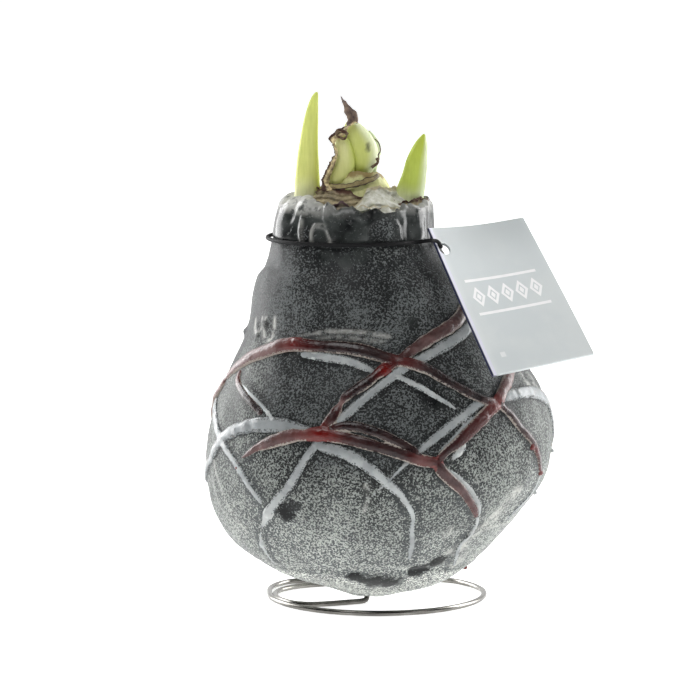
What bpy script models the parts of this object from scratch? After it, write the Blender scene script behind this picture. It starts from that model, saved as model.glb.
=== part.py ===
"""A waxed amaryllis bulb on a bent-wire stand, with a folded swing tag on an elastic cord.

The frame is +Z up. The stand's ring lies on the plane z = 0, and the origin is the middle of the
whole object's outline on that plane. Until the last step the middle of the stand's ring is the
origin, because every driving dimension is measured from it. Angles on the bulb turn
anticlockwise seen from above, so 0 is the right side, -90 the front and 90 the back.
"""
import math

import bmesh
import bpy
from mathutils import Matrix, Vector

# ---------------------------------------------------------------- driving dimensions (mm)
MM = 0.001
GAP = 0.3                       # clearance between neighbouring pieces

BULB_Y = -8.0                   # the bulb leans a little forward of the ring's middle
BULB_DEPTH = 0.98               # front-to-back width over side-to-side width
BULB_SIDES = 40
WAX_THICKNESS = 2.2
WAX_OUTLINE = (                 # height, left edge, right edge: the lopsided pear shape
    (2.4, -9.0, 6.0),
    (4.8, -18.0, 16.5),
    (9.5, -30.6, 25.0),
    (16.5, -40.5, 32.8),
    (26.0, -46.8, 40.8),
    (35.0, -49.2, 47.6),
    (45.0, -49.4, 50.6),
    (54.0, -47.9, 50.2),
    (63.5, -44.7, 46.8),
    (77.5, -38.3, 37.4),
    (91.5, -34.6, 27.2),
    (101.0, -31.4, 19.8),
    (107.5, -30.3, 16.4),
    (116.0, -28.4, 16.0),
)
WAX_RINGS = 22
WAX_RIM_Z = WAX_OUTLINE[-1][0]
WAX_BASE_Z = WAX_OUTLINE[0][0]

BODY_TOP_Z = 109.0              # the cut top of the bulb, inside the wax collar
BODY_FOOT_Z = 7.2               # where its side begins to curve under
BODY_FOOT_SHARE = 0.28          # width of its flat foot over the width there
BODY_RINGS = 18
BODY_SIDES = 32
BODY_SLACK = 0.4                # extra clearance for the facets of two unlike meshes
NECK_X = -6.6                   # middle of the neck

WIRE_RADIUS = 0.8
RING_RADIUS = 31.4
PRONG_X, PRONG_Y = -2.8, -12.5
PRONG_TOP_Z = 15.0
PRONG_CLEARANCE = 0.45

CORD_RADIUS = 0.65
CORD_Z = 106.1
CORD_SLOPE_IN_HOLE = 0.3        # share of the tag's own tilt that the cord follows in the hole

TAG_CORNER = (14.2, -20.2, 108.9)       # the upper end of the tag's fold
TAG_ACROSS = (28.4, 14.0, 3.2)          # direction of its upper edge
TAG_DOWN = (18.7, -25.0, -38.0)         # direction of its fold
TAG_WIDTH = 32.0
TAG_HEIGHT = 49.3
TAG_THICKNESS = 1.0
TAG_LEAF_THICKNESS = 0.35
TAG_HOLE_RADIUS = 1.9
TAG_HOLE_ACROSS = 3.6
TAG_HOLE_DOWN = 7.4

RED_RADIUS = 1.0
WHITE_RADIUS = 1.1
STRAND_STEP = 3.4               # spacing of points along a wax strand
CROSSING_LIFT = 2.7             # how far a red strand climbs to pass over a white one
CROSSING_REACH = 7.5            # how long before the crossing it begins to climb

# Wax strands as (angle on the bulb, height). The three knots are shared ends.
LEFT_KNOT = (-110, 55)
RIGHT_KNOT = (-46, 62)
LOW_KNOT = (-72, 47)
RED_STRANDS = {
    "upper_arc": ((-166, 69), (-147, 75), (-126, 78), (-110, 79), (-95, 78), (-82, 76),
                  (-66, 70), (-56, 64), RIGHT_KNOT),
    "back_arc": ((10, 50), (25, 58), (42, 64), (65, 66), (90, 60), (115, 51), (138, 46),
                 (160, 49), (179, 58), (194, 69)),
    "slant": ((-47, 84), (-62, 81), (-75, 78), (-89, 72), (-100, 68), (-106, 62), LEFT_KNOT),
    "belly_arc": ((-140, 47), (-134, 50), (-124, 53), LEFT_KNOT, (-94, 53), (-84, 50),
                  LOW_KNOT, (-60, 40), (-54, 35), (-50, 31)),
    "link": (RIGHT_KNOT, (-55, 58), (-61, 54), (-67, 50), LOW_KNOT),
    "right_fall": (RIGHT_KNOT, (-38, 56), (-30, 49), (-20, 41)),
    "back_fall": ((115, 51), (103, 42), (92, 31)),
}
RED_TRICKLE = ((-153, 65), (-146, 64), (-138, 61), (-131, 58))
WHITE_STRANDS = {
    "long_slant": ((-49, 80), (-60, 78), (-72, 75), (-82, 72), (-94, 66), (-103, 60), (-110, 54),
                   (-115, 48), (-120, 40), (-126, 34), (-131, 27), (-137, 19), (-139, 14)),
    "left_arc": ((90, 76), (110, 66), (135, 52), (160, 38), (180, 36), (196, 43), (206, 51),
                 (220, 55), (238, 56), (250, 54)),
    "left_fall": ((115, 78), (138, 74), (160, 66), (176, 56), (206, 51), (216, 44), (226, 34)),
    "front_fall": (LEFT_KNOT, (-100, 52), (-92, 48), (-85, 43), (-80, 37), (-76, 30), (-70, 17)),
    "upper_drift": ((-125, 75), (-104, 74), (-93, 72), (-79, 68), (-67, 62)),
    "right_slant": (RIGHT_KNOT, (-58, 61), (-67, 57), (-79, 50), (-90, 45)),
    "right_arc": (RIGHT_KNOT, (-31, 63), (-9, 58), (10, 44), (30, 34), (48, 26)),
}
WHITE_TRICKLE = ((-50, 26), (-49, 22), (-49, 18))

# Leaves as (x, height, half width). The first entry is the foot on the bulb's top.
LEAF_THICKNESS_RATIO = 0.5
LEFT_LEAF_Y = -9.0
LEFT_LEAF = (
    (-19.6, BODY_TOP_Z + GAP, 3.4),
    (-20.0, 119.5, 3.8),
    (-20.0, 126.5, 3.3),
    (-19.7, 133.5, 2.7),
    (-19.0, 140.5, 2.1),
    (-18.2, 145.2, 1.5),
    (-17.3, 148.4, 0.4),
)
RIGHT_LEAF_Y = -12.0
RIGHT_LEAF = (
    (7.4, BODY_TOP_Z + GAP, 3.8),
    (9.2, 119.0, 4.2),
    (10.6, 124.0, 3.5),
    (11.4, 128.6, 3.1),
    (12.4, 133.2, 2.2),
    (13.5, 136.4, 0.4),
)
# Bud lobes as (x, y, height, half width, half depth)
LEFT_LOBE = (
    (-6.6, -11.6, BODY_TOP_Z + GAP, 2.6, 1.6),
    (-6.8, -11.7, 118.0, 3.1, 2.0),
    (-8.2, -12.0, 124.0, 4.2, 2.7),
    (-9.2, -12.2, 129.5, 4.6, 3.0),
    (-8.2, -12.0, 135.0, 3.8, 2.6),
    (-6.6, -11.6, 139.4, 1.4, 1.2),
)
RIGHT_LOBE = (
    (-4.6, -6.0, BODY_TOP_Z + GAP, 2.8, 2.2),
    (-4.4, -6.0, 118.0, 3.6, 2.8),
    (-4.2, -5.6, 124.0, 4.5, 3.1),
    (-4.0, -5.6, 130.5, 4.7, 3.1),
    (-4.6, -5.6, 136.0, 3.6, 2.6),
    (-5.8, -6.4, 140.4, 1.5, 1.3),
)
WITHERED_TIP = (
    (-6.1, -9.1, 140.9, 1.7, 0.9),
    (-7.3, -8.9, 142.6, 1.6, 0.9),
    (-8.6, -8.6, 144.4, 1.2, 0.7),
    (-9.8, -8.3, 146.0, 0.9, 0.5),
    (-10.7, -8.0, 147.3, 0.4, 0.3),
)
# Dry scales that ring the shoot: middle, radii, start and end angle, top, tear depth, lean
SHOOT_X, SHOOT_Y = -5.6, -9.0
SCALES = {
    "outer_neck_scale": ((NECK_X, BULB_Y), (18.7, 18.4), (-318, -42), 118.0, 1.6, 0.0),
    "green_bud_scale": ((SHOOT_X, SHOOT_Y), (6.4, 7.2), (-165, -10), 122.8, 0.8, 1.3),
    "dry_band_scale": ((SHOOT_X, SHOOT_Y), (7.7, 8.5), (-200, -70), 121.6, 1.2, 1.4),
    "papery_scale": ((SHOOT_X, SHOOT_Y), (7.9, 8.7), (-62, 15), 121.8, 1.2, 1.3),
    "fibrous_scale": ((SHOOT_X, SHOOT_Y), (9.1, 10.4), (-215, -85), 118.6, 1.4, 1.0),
    "back_neck_scale": ((SHOOT_X, SHOOT_Y), (8.9, 13.0), (30, 140), 118.2, 1.2, 0.3),
    "right_leaf_sheath": ((7.6, RIGHT_LEAF_Y), (5.3, 3.5), (-175, 0), 116.8, 1.2, 0.2),
}
SCALE_THICKNESS = 0.5
DRY_SKIN_FOOT = (-12.7, -12.9, 123.0)
DRY_SKIN_HEIGHT = 15.5
DRY_SKIN_WIDTH = 3.4

# ---------------------------------------------------------------- colours and finishes
FINISHES = {                    # colour, roughness, metallic
    "grey_wax": ((0.07, 0.075, 0.075), 0.35, 0.0),
    "bulb_flesh": ((0.55, 0.5, 0.33), 0.6, 0.0),
    "red_wax": ((0.16, 0.012, 0.016), 0.25, 0.0),
    "white_wax": ((0.33, 0.34, 0.34), 0.35, 0.0),
    "leaf_green": ((0.34, 0.52, 0.1), 0.4, 0.0),
    "bud_green": ((0.5, 0.6, 0.16), 0.45, 0.0),
    "dry_brown": ((0.13, 0.07, 0.045), 0.7, 0.0),
    "dry_paper": ((0.5, 0.45, 0.38), 0.65, 0.0),
    "elastic": ((0.012, 0.012, 0.013), 0.6, 0.0),
    "tag_card": ((0.54, 0.57, 0.57), 0.5, 0.0),
    "steel_wire": ((0.6, 0.6, 0.61), 0.25, 1.0),
}


# ---------------------------------------------------------------- scene and helpers
def new_collection(name):
    collection = bpy.data.collections.new(name)
    bpy.context.scene.collection.children.link(collection)
    return collection


for old_object in list(bpy.data.objects):
    bpy.data.objects.remove(old_object, do_unlink=True)
PARTS = new_collection("waxed_amaryllis_bulb")
CUTTERS = new_collection("cutters")


def finish(name):
    """The named Principled material, made at its first use."""
    material = bpy.data.materials.get(name)
    if material is None:
        colour, roughness, metallic = FINISHES[name]
        material = bpy.data.materials.new(name)
        material.use_nodes = True
        shader = material.node_tree.nodes["Principled BSDF"]
        shader.inputs["Base Color"].default_value = (*colour, 1.0)
        shader.inputs["Roughness"].default_value = roughness
        shader.inputs["Metallic"].default_value = metallic
        material.diffuse_color = (*colour, 1.0)
    return material


def add_part(name, mesh, material_name):
    """Links a mesh as one smooth-shaded sub-part."""
    part = bpy.data.objects.new(name, mesh)
    mesh.materials.clear()
    mesh.materials.append(finish(material_name))
    mesh.shade_smooth()
    mesh.set_sharp_from_angle(angle=math.radians(40))
    PARTS.objects.link(part)
    return part


def add_cutter(name, mesh):
    cutter = bpy.data.objects.new(name, mesh)
    cutter.hide_render = True
    cutter.display_type = "WIRE"
    CUTTERS.objects.link(cutter)
    return cutter


def boolean(part, operation, cutter):
    modifier = part.modifiers.new(operation.lower(), "BOOLEAN")
    modifier.operation = operation
    modifier.solver = "EXACT"
    modifier.object = cutter
    return modifier


def mesh_from_bmesh(name, shape):
    mesh = bpy.data.meshes.new(name)
    shape.to_mesh(mesh)
    shape.free()
    return mesh


def loft_mesh(name, rings, closed_rings=True, caps=True):
    """Joins rings of equally many points (mm), from the lowest to the highest, facing out."""
    shape = bmesh.new()
    rows = [[shape.verts.new(Vector(point) * MM) for point in ring] for ring in rings]
    sides = len(rows[0])
    spans = sides if closed_rings else sides - 1
    for lower, upper in zip(rows, rows[1:]):
        for i in range(spans):
            j = (i + 1) % sides
            shape.faces.new((lower[i], lower[j], upper[j], upper[i]))
    if closed_rings and caps:
        shape.faces.new(list(reversed(rows[0])))
        shape.faces.new(rows[-1])
    return mesh_from_bmesh(name, shape)


def tube_mesh(name, points, radius, cyclic=False, resolution=2):
    """A round wire along points (mm), as a welded mesh with filled ends."""
    curve = bpy.data.curves.new(name, "CURVE")
    curve.dimensions = "3D"
    curve.bevel_depth = radius * MM
    curve.bevel_resolution = resolution
    curve.use_fill_caps = True
    spline = curve.splines.new("POLY")
    spline.points.add(len(points) - 1)
    for spline_point, point in zip(spline.points, points):
        spline_point.co = (*(Vector(point) * MM), 1.0)
    spline.use_cyclic_u = cyclic
    guide = bpy.data.objects.new(name, curve)
    CUTTERS.objects.link(guide)
    bpy.context.view_layer.update()
    evaluated = guide.evaluated_get(bpy.context.evaluated_depsgraph_get())
    mesh = bpy.data.meshes.new_from_object(evaluated)
    bpy.data.objects.remove(guide, do_unlink=True)
    bpy.data.curves.remove(curve)
    shape = bmesh.new()
    shape.from_mesh(mesh)
    bmesh.ops.remove_doubles(shape, verts=shape.verts, dist=1e-6)
    bmesh.ops.recalc_face_normals(shape, faces=shape.faces)
    shape.to_mesh(mesh)
    shape.free()
    return mesh


def smooth_path(controls, step, cyclic=False):
    """Points about step apart on a Catmull-Rom curve through the controls."""
    controls = [Vector(control) for control in controls]
    count = len(controls)
    path = []
    for i in range(count if cyclic else count - 1):
        if cyclic:
            p0, p1, p2, p3 = (controls[(i + k) % count] for k in (-1, 0, 1, 2))
        else:
            p1, p2 = controls[i], controls[i + 1]
            p0 = controls[max(i - 1, 0)]
            p3 = controls[min(i + 2, count - 1)]
        pieces = max(1, round((p2 - p1).length / step))
        for k in range(pieces):
            t = k / pieces
            path.append(0.5 * (2 * p1 + (p2 - p0) * t + (2 * p0 - 5 * p1 + 4 * p2 - p3) * t * t
                               + (3 * p1 - p0 - 3 * p2 + p3) * t ** 3))
    if not cyclic:
        path.append(controls[-1])
    return path


# ---------------------------------------------------------------- the bulb's outer surface
def outline_at(height, column):
    """The left (1) or right (2) edge of the wax at a height, on a smooth curve."""
    rows = WAX_OUTLINE
    height = min(max(height, rows[0][0]), rows[-1][0])
    i = max(k for k in range(len(rows) - 1) if rows[k][0] <= height)

    def slope(k):
        before, after = rows[max(k - 1, 0)], rows[min(k + 1, len(rows) - 1)]
        return (after[column] - before[column]) / (after[0] - before[0])

    span = rows[i + 1][0] - rows[i][0]
    t = (height - rows[i][0]) / span
    return ((2 * t ** 3 - 3 * t * t + 1) * rows[i][column]
            + (t ** 3 - 2 * t * t + t) * span * slope(i)
            + (3 * t * t - 2 * t ** 3) * rows[i + 1][column]
            + (t ** 3 - t * t) * span * slope(i + 1))


def surface_point(angle, height, outwards=0.0):
    """The point at an angle (degrees) and height on the wax, moved outwards along its normal."""
    def on_surface(turn, level):
        left, right = outline_at(level, 1), outline_at(level, 2)
        half = (right - left) / 2
        return Vector(((left + right) / 2 + half * math.cos(turn),
                       BULB_Y + BULB_DEPTH * half * math.sin(turn), level))

    turn = math.radians(angle)
    small = 0.05
    low, high = max(height - small, WAX_BASE_Z), min(height + small, WAX_RIM_Z)
    up = on_surface(turn, high) - on_surface(turn, low)
    around = on_surface(turn + 0.001, height) - on_surface(turn - 0.001, height)
    return on_surface(turn, height) + around.cross(up).normalized() * outwards


def keep_outside(point, reach):
    """The point, moved out to the given reach from the wax if it is nearer than that."""
    middle_x = (outline_at(point.z, 1) + outline_at(point.z, 2)) / 2
    turn = math.atan2((point.y - BULB_Y) / BULB_DEPTH, point.x - middle_x)
    nearest = surface_point(math.degrees(turn), point.z, reach)
    middle = Vector((middle_x, BULB_Y, point.z))
    return point if (point - middle).length > (nearest - middle).length else nearest


def surface_ring(height, sides, outwards=0.0):
    return [surface_point(360 * i / sides, height, outwards) for i in range(sides)]


def spread_heights(low, high, count):
    """Heights that crowd towards the rounded foot of the bulb."""
    return [low + (high - low) * (i / (count - 1)) ** 1.25 for i in range(count)]


# ---------------------------------------------------------------- wax coat and bulb
def build_wax_coat():
    hole = WIRE_RADIUS + PRONG_CLEARANCE
    hole_ring = [(PRONG_X + hole * math.cos(2 * math.pi * i / BULB_SIDES),
                  PRONG_Y + hole * math.sin(2 * math.pi * i / BULB_SIDES), WAX_BASE_Z)
                 for i in range(BULB_SIDES)]
    rings = [hole_ring]
    for height in spread_heights(WAX_BASE_Z, WAX_RIM_Z, WAX_RINGS):
        rings.append(surface_ring(height, BULB_SIDES))
    coat = add_part("wax_coat", loft_mesh("wax_coat", rings, caps=False), "grey_wax")
    shell = coat.modifiers.new("wax_thickness", "SOLIDIFY")
    shell.thickness = WAX_THICKNESS * MM
    shell.offset = -1.0
    shell.use_even_offset = True


def build_bulb_body():
    inset = -(WAX_THICKNESS + GAP + BODY_SLACK)
    low = WAX_BASE_Z + WAX_THICKNESS + GAP + BODY_SLACK
    rings = [surface_ring(height, BODY_SIDES, inset)
             for height in spread_heights(BODY_FOOT_Z, BODY_TOP_Z, BODY_RINGS)]
    middle = sum(rings[0], Vector()) / BODY_SIDES
    foot = [middle + (point - middle) * BODY_FOOT_SHARE for point in rings[0]]
    rings.insert(0, [(point.x, point.y, low) for point in foot])
    body = add_part("bulb_body", loft_mesh("bulb_body", rings), "bulb_flesh")
    shape = bmesh.new()
    depth = PRONG_TOP_Z + GAP - low + 2.0
    bmesh.ops.create_cone(shape, cap_ends=True, segments=16, depth=depth * MM,
                          radius1=(WIRE_RADIUS + PRONG_CLEARANCE) * MM,
                          radius2=(WIRE_RADIUS + PRONG_CLEARANCE) * MM)
    bore = add_cutter("prong_bore", mesh_from_bmesh("prong_bore", shape))
    bore.location = Vector((PRONG_X, PRONG_Y, PRONG_TOP_Z + GAP - depth / 2)) * MM
    boolean(body, "DIFFERENCE", bore)


# ---------------------------------------------------------------- leaves, shoot and dry scales
def ellipse_ring(x, y, height, half_width, half_depth, sides=12):
    return [(x + half_width * math.cos(2 * math.pi * i / sides),
             y + half_depth * math.sin(2 * math.pi * i / sides), height) for i in range(sides)]


def build_leaf(name, stations, depth_y):
    rings = [ellipse_ring(x, depth_y, height, half, half * LEAF_THICKNESS_RATIO)
             for x, height, half in stations]
    add_part(name, loft_mesh(name, rings), "leaf_green")


def build_lobe(name, stations, material_name):
    rings = [ellipse_ring(*station) for station in stations]
    add_part(name, loft_mesh(name, rings), material_name)


def build_scale(name, middle, radii, angles, top, tear, lean, material_name):
    """An upright arc of dry scale whose upper edge is torn in uneven waves."""
    foot = BODY_TOP_Z + GAP
    start, end = angles
    count = max(6, round((end - start) / 14))
    columns = []
    for i in range(count + 1):
        share = i / count
        angle = math.radians(start + (end - start) * share)
        wave = 0.6 * math.sin(9.0 * share + start) + 0.4 * math.sin(23.0 * share + top)
        fall = math.sin(math.pi * share) ** 0.35
        height = foot + (top - foot) * (0.6 + 0.4 * fall) - tear * (0.5 + 0.5 * wave)
        column = []
        for k in range(4):
            rise = k / 3
            spread = 1.0 + lean * rise * rise / max(radii)
            column.append((middle[0] + radii[0] * spread * math.cos(angle),
                           middle[1] + radii[1] * spread * math.sin(angle),
                           foot + (height - foot) * rise))
        columns.append(column)
    rows = [[column[k] for column in columns] for k in range(4)]
    scale = add_part(name, loft_mesh(name, rows, closed_rings=False), material_name)
    thickness = scale.modifiers.new("thickness", "SOLIDIFY")
    thickness.thickness = SCALE_THICKNESS * MM
    thickness.offset = -1.0


def build_dry_skin():
    """The brown torn edge of the old bud skin, a narrow curled strip left of the bud."""
    x, y, z = DRY_SKIN_FOOT
    rows = []
    for i in range(7):
        rise = i / 6
        height = z + DRY_SKIN_HEIGHT * rise
        inner = x - 1.0 * math.sin(math.pi * rise) + 3.2 * max(0.0, rise - 0.55) * 2
        width = DRY_SKIN_WIDTH * (0.5 + 0.5 * math.sin(math.pi * (0.15 + 0.8 * rise)))
        rows.append([(inner - width * share, y - 1.1 * math.sin(math.pi * share) - 0.9,
                      height + 0.5 * share) for share in (1.0, 0.66, 0.33, 0.0)])
    strip = add_part("dry_bud_skin", loft_mesh("dry_bud_skin", rows, closed_rings=False),
                     "dry_brown")
    thickness = strip.modifiers.new("thickness", "SOLIDIFY")
    thickness.thickness = SCALE_THICKNESS * MM
    thickness.offset = -1.0


# ---------------------------------------------------------------- wax strands
def strand_route(controls):
    """A strand's (angle, height) list as points on the wax surface itself."""
    flat = smooth_path([(angle, height, 0.0) for angle, height in controls], 4.0)
    dense = [surface_point(point.x, point.y) for point in flat]
    total = sum((b - a).length for a, b in zip(dense, dense[1:]))
    keep = max(2, round(total / STRAND_STEP))
    route = []
    for i in range(keep + 1):
        share = i / keep * (len(flat) - 1)
        k = min(int(share), len(flat) - 2)
        mix = flat[k].lerp(flat[k + 1], share - k)
        route.append((mix.x, mix.y))
    return route


def strand_points(controls, radius, others=()):
    """The route lifted clear of the wax, and higher still where it crosses the others."""
    points = []
    for angle, height in strand_route(controls):
        here = surface_point(angle, height)
        nearest = min(((here - other).length for other in others), default=CROSSING_REACH)
        nearness = max(0.0, 1.0 - nearest / CROSSING_REACH)
        lift = CROSSING_LIFT * math.sin(0.5 * math.pi * min(1.0, nearness * 1.35)) ** 2
        points.append(surface_point(angle, height, radius + GAP + 0.08 + lift))
    return points


def build_net(name, strands, radius, material_name, others=()):
    """Strands of one colour, run together into one piece where they meet."""
    net = None
    for strand_name, controls in strands.items():
        mesh = tube_mesh(f"{name}_{strand_name}", strand_points(controls, radius, others), radius)
        if net is None:
            net = add_part(name, mesh, material_name)
        else:
            boolean(net, "UNION", add_cutter(f"{name}_{strand_name}", mesh))


def build_wax_strands():
    whites = []
    for controls in (*WHITE_STRANDS.values(), WHITE_TRICKLE):
        fine = smooth_path([(angle, height, 0.0) for angle, height in controls], 1.0)
        whites.extend(surface_point(point.x, point.y) for point in fine)
    build_net("white_wax_strands", WHITE_STRANDS, WHITE_RADIUS, "white_wax")
    build_net("white_wax_trickle", {"run": WHITE_TRICKLE}, WHITE_RADIUS * 0.8, "white_wax")
    build_net("red_wax_strands", RED_STRANDS, RED_RADIUS, "red_wax", whites)
    build_net("red_wax_trickle", {"run": RED_TRICKLE}, RED_RADIUS * 0.8, "red_wax", whites)


# ---------------------------------------------------------------- tag, cord and stand
def tag_axes():
    """Unit vectors across the tag, down its fold, and out of its face towards the front."""
    down = Vector(TAG_DOWN).normalized()
    across = Vector(TAG_ACROSS)
    across = (across - down * across.dot(down)).normalized()
    return across, down, down.cross(across)


def tag_point(across_mm, down_mm, out_mm=0.0):
    across, down, out = tag_axes()
    return Vector(TAG_CORNER) + across * across_mm + down * down_mm + out * out_mm


def tag_frame(across_mm, down_mm, out_mm=0.0):
    """The matrix that lays a local X, Y, Z shape on the tag at that place."""
    across, down, out = tag_axes()
    turn = Matrix((across, -down, out)).transposed().to_4x4()
    return Matrix.Translation(tag_point(across_mm, down_mm, out_mm) * MM) @ turn


def box_mesh(name, size_x, size_y, size_z):
    shape = bmesh.new()
    bmesh.ops.create_cube(shape, size=1.0)
    bmesh.ops.scale(shape, verts=shape.verts, vec=Vector((size_x, size_y, size_z)) * MM)
    return mesh_from_bmesh(name, shape)


def build_tag():
    """A card folded in two along its left edge, with a punched hole near the fold."""
    tag = add_part("swing_tag", box_mesh("swing_tag", TAG_WIDTH, TAG_HEIGHT, TAG_THICKNESS),
                   "tag_card")
    tag.matrix_world = tag_frame(TAG_WIDTH / 2, TAG_HEIGHT / 2, -TAG_THICKNESS / 2)
    opening = TAG_THICKNESS - 2 * TAG_LEAF_THICKNESS
    slot = add_cutter("fold_slot", box_mesh("fold_slot", TAG_WIDTH, TAG_HEIGHT + 2, opening))
    slot.matrix_world = tag_frame(TAG_WIDTH / 2 + 0.8, TAG_HEIGHT / 2, -TAG_THICKNESS / 2)
    boolean(tag, "DIFFERENCE", slot)
    shape = bmesh.new()
    bmesh.ops.create_cone(shape, cap_ends=True, segments=20, depth=4 * TAG_THICKNESS * MM,
                          radius1=TAG_HOLE_RADIUS * MM, radius2=TAG_HOLE_RADIUS * MM)
    punch = add_cutter("punched_hole", mesh_from_bmesh("punched_hole", shape))
    punch.matrix_world = tag_frame(TAG_HOLE_ACROSS, TAG_HOLE_DOWN, -TAG_THICKNESS / 2)
    boolean(tag, "DIFFERENCE", punch)


def build_cord():
    """One elastic loop round the neck, drawn out on the right to pass through the tag's hole."""
    hole = tag_point(TAG_HOLE_ACROSS, TAG_HOLE_DOWN, -TAG_THICKNESS / 2)
    out = tag_axes()[2]
    through = Vector((out.x, out.y, CORD_SLOPE_IN_HOLE * out.z)).normalized()
    reach = CORD_RADIUS + GAP + 0.3
    controls = [surface_point(angle, CORD_Z, reach) for angle in range(15, 316, 15)]
    for ahead in (4.0, 1.6, -1.6, -4.0):
        controls.append(hole + through * ahead)
    route = [keep_outside(point, reach) for point in smooth_path(controls, 3.4, cyclic=True)]
    add_part("elastic_cord", tube_mesh("elastic_cord", route, CORD_RADIUS, cyclic=True), "elastic")


def build_stand():
    """One bent wire: prong, arm, a full ring, then a free end that turns back inside."""
    level = WIRE_RADIUS
    controls = [(PRONG_X, PRONG_Y, PRONG_TOP_Z), (PRONG_X, PRONG_Y, 9.0),
                (PRONG_X, PRONG_Y, 5.0), (PRONG_X - 0.1, PRONG_Y - 0.1, 2.2),
                (PRONG_X - 1.0, PRONG_Y - 0.7, level), (-9.0, -16.2, level),
                (-16.0, -18.8, level), (-21.5, -19.4, level)]
    turns = [(angle, RING_RADIUS, 0.0) for angle in range(208, -131, -12)]
    turns += [(-139, 31.0, 1.3), (-147, 30.2, 2.0), (-156, 29.2, 1.2), (-165, 28.8, 0.0),
              (-175, 28.6, 0.0)]
    for angle, radius, climb in turns:
        turn = math.radians(angle)
        controls.append((radius * math.cos(turn), radius * math.sin(turn), level + climb))
    controls += [(-26.6, 8.4, level), (-21.0, 14.0, level), (-16.0, 17.6, level)]
    route = smooth_path(controls, 3.2)
    add_part("wire_stand", tube_mesh("wire_stand", route, WIRE_RADIUS), "steel_wire")


# ---------------------------------------------------------------- assembly
def stand_on_origin():
    """Moves every piece so that the origin is the middle of the outline's foot."""
    bpy.context.view_layer.update()
    depsgraph = bpy.context.evaluated_depsgraph_get()
    corners = []
    for part in PARTS.objects:
        mesh = part.evaluated_get(depsgraph).to_mesh()
        corners.extend(part.matrix_world @ vertex.co for vertex in mesh.vertices)
    low = Vector([min(corner[k] for corner in corners) for k in range(3)])
    high = Vector([max(corner[k] for corner in corners) for k in range(3)])
    shift = Vector((-(low.x + high.x) / 2, -(low.y + high.y) / 2, -low.z))
    for piece in (*PARTS.objects, *CUTTERS.objects):
        piece.matrix_world = Matrix.Translation(shift) @ piece.matrix_world
    bpy.context.view_layer.update()


def main():
    build_wax_coat()
    build_bulb_body()
    build_leaf("left_leaf", LEFT_LEAF, LEFT_LEAF_Y)
    build_leaf("right_leaf", RIGHT_LEAF, RIGHT_LEAF_Y)
    build_lobe("bud_left_lobe", LEFT_LOBE, "bud_green")
    build_lobe("bud_right_lobe", RIGHT_LOBE, "bud_green")
    build_lobe("withered_tip", WITHERED_TIP, "dry_brown")
    build_dry_skin()
    for name, sizes in SCALES.items():
        material_name = {"green_bud_scale": "bud_green", "papery_scale": "dry_paper",
                         "fibrous_scale": "dry_paper"}.get(name, "dry_brown")
        build_scale(name, *sizes, material_name)
    build_wax_strands()
    build_tag()
    build_cord()
    build_stand()
    stand_on_origin()


main()
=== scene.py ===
# %% [markdown]
# # A waxed amaryllis bulb, finished in cells
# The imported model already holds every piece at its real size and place. This lesson builds the
# looks around it: poured wax with a pale bloom, red and white drizzle, a sprouting shoot with dry
# scales, a card tag on elastic and a bent steel wire. Run the cells in order. Lengths are in
# millimetres from the middle of the wire ring, and only the last step of each mesh turns them
# into metres.

# %% Load the frame
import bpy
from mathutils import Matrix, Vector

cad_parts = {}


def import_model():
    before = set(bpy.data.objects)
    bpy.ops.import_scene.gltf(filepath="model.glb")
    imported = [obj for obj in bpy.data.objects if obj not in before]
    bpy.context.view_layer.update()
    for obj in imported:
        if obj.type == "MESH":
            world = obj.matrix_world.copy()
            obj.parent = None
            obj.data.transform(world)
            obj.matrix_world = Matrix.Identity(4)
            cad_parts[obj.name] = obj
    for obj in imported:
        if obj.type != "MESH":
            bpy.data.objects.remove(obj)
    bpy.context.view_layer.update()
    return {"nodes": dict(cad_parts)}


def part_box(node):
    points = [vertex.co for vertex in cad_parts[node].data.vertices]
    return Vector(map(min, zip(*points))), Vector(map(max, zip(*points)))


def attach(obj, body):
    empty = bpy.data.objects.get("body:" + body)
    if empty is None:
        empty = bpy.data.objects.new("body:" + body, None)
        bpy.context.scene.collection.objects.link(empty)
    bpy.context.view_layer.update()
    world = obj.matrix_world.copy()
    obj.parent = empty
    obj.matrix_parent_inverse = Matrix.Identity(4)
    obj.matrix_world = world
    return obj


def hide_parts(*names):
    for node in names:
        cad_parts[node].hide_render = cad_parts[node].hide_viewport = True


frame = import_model()
print("pieces in the frame:", len(frame["nodes"]))

# %% Modules
import math

import bmesh
import bpy
import numpy as np
from mathutils import Matrix, Vector
from mathutils.kdtree import KDTree

# %% [markdown]
# ## Camera, floor and light
# A long lens from a metre and a half keeps the ring a flat ellipse and the tag free of
# distortion. The light is a high-key studio: white all round, so glossy wax shows pale edges,
# with a darker gap in front that keeps the middle of the bulb deep grey.

# %% Camera
ring_low, ring_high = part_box("wire_stand")
MM = 0.001
ORIGIN = np.array([(ring_low.x + ring_high.x) / 2, (ring_low.y + ring_high.y) / 2, 0.0])


def world(points):
    """Points in millimetres from the ring's middle, as metres in the frame."""
    return np.asarray(points, float) * MM + ORIGIN


CAMERA_AT = (-7.85, -1500.0, 253.2)
CAMERA_PITCH = 6.87
camera_data = bpy.data.cameras.new("camera")
camera_data.sensor_width = 36.0
camera_data.lens = 266.8
camera_data.clip_end = 20.0
camera = bpy.data.objects.new("camera", camera_data)
camera.location = world(CAMERA_AT)
camera.rotation_euler = (math.radians(90 - CAMERA_PITCH), 0.0, 0.0)
bpy.context.scene.collection.objects.link(camera)
bpy.context.scene.camera = camera
bpy.context.scene.view_settings.view_transform = "Standard"
print("camera at", [round(v, 3) for v in camera.location])


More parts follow.
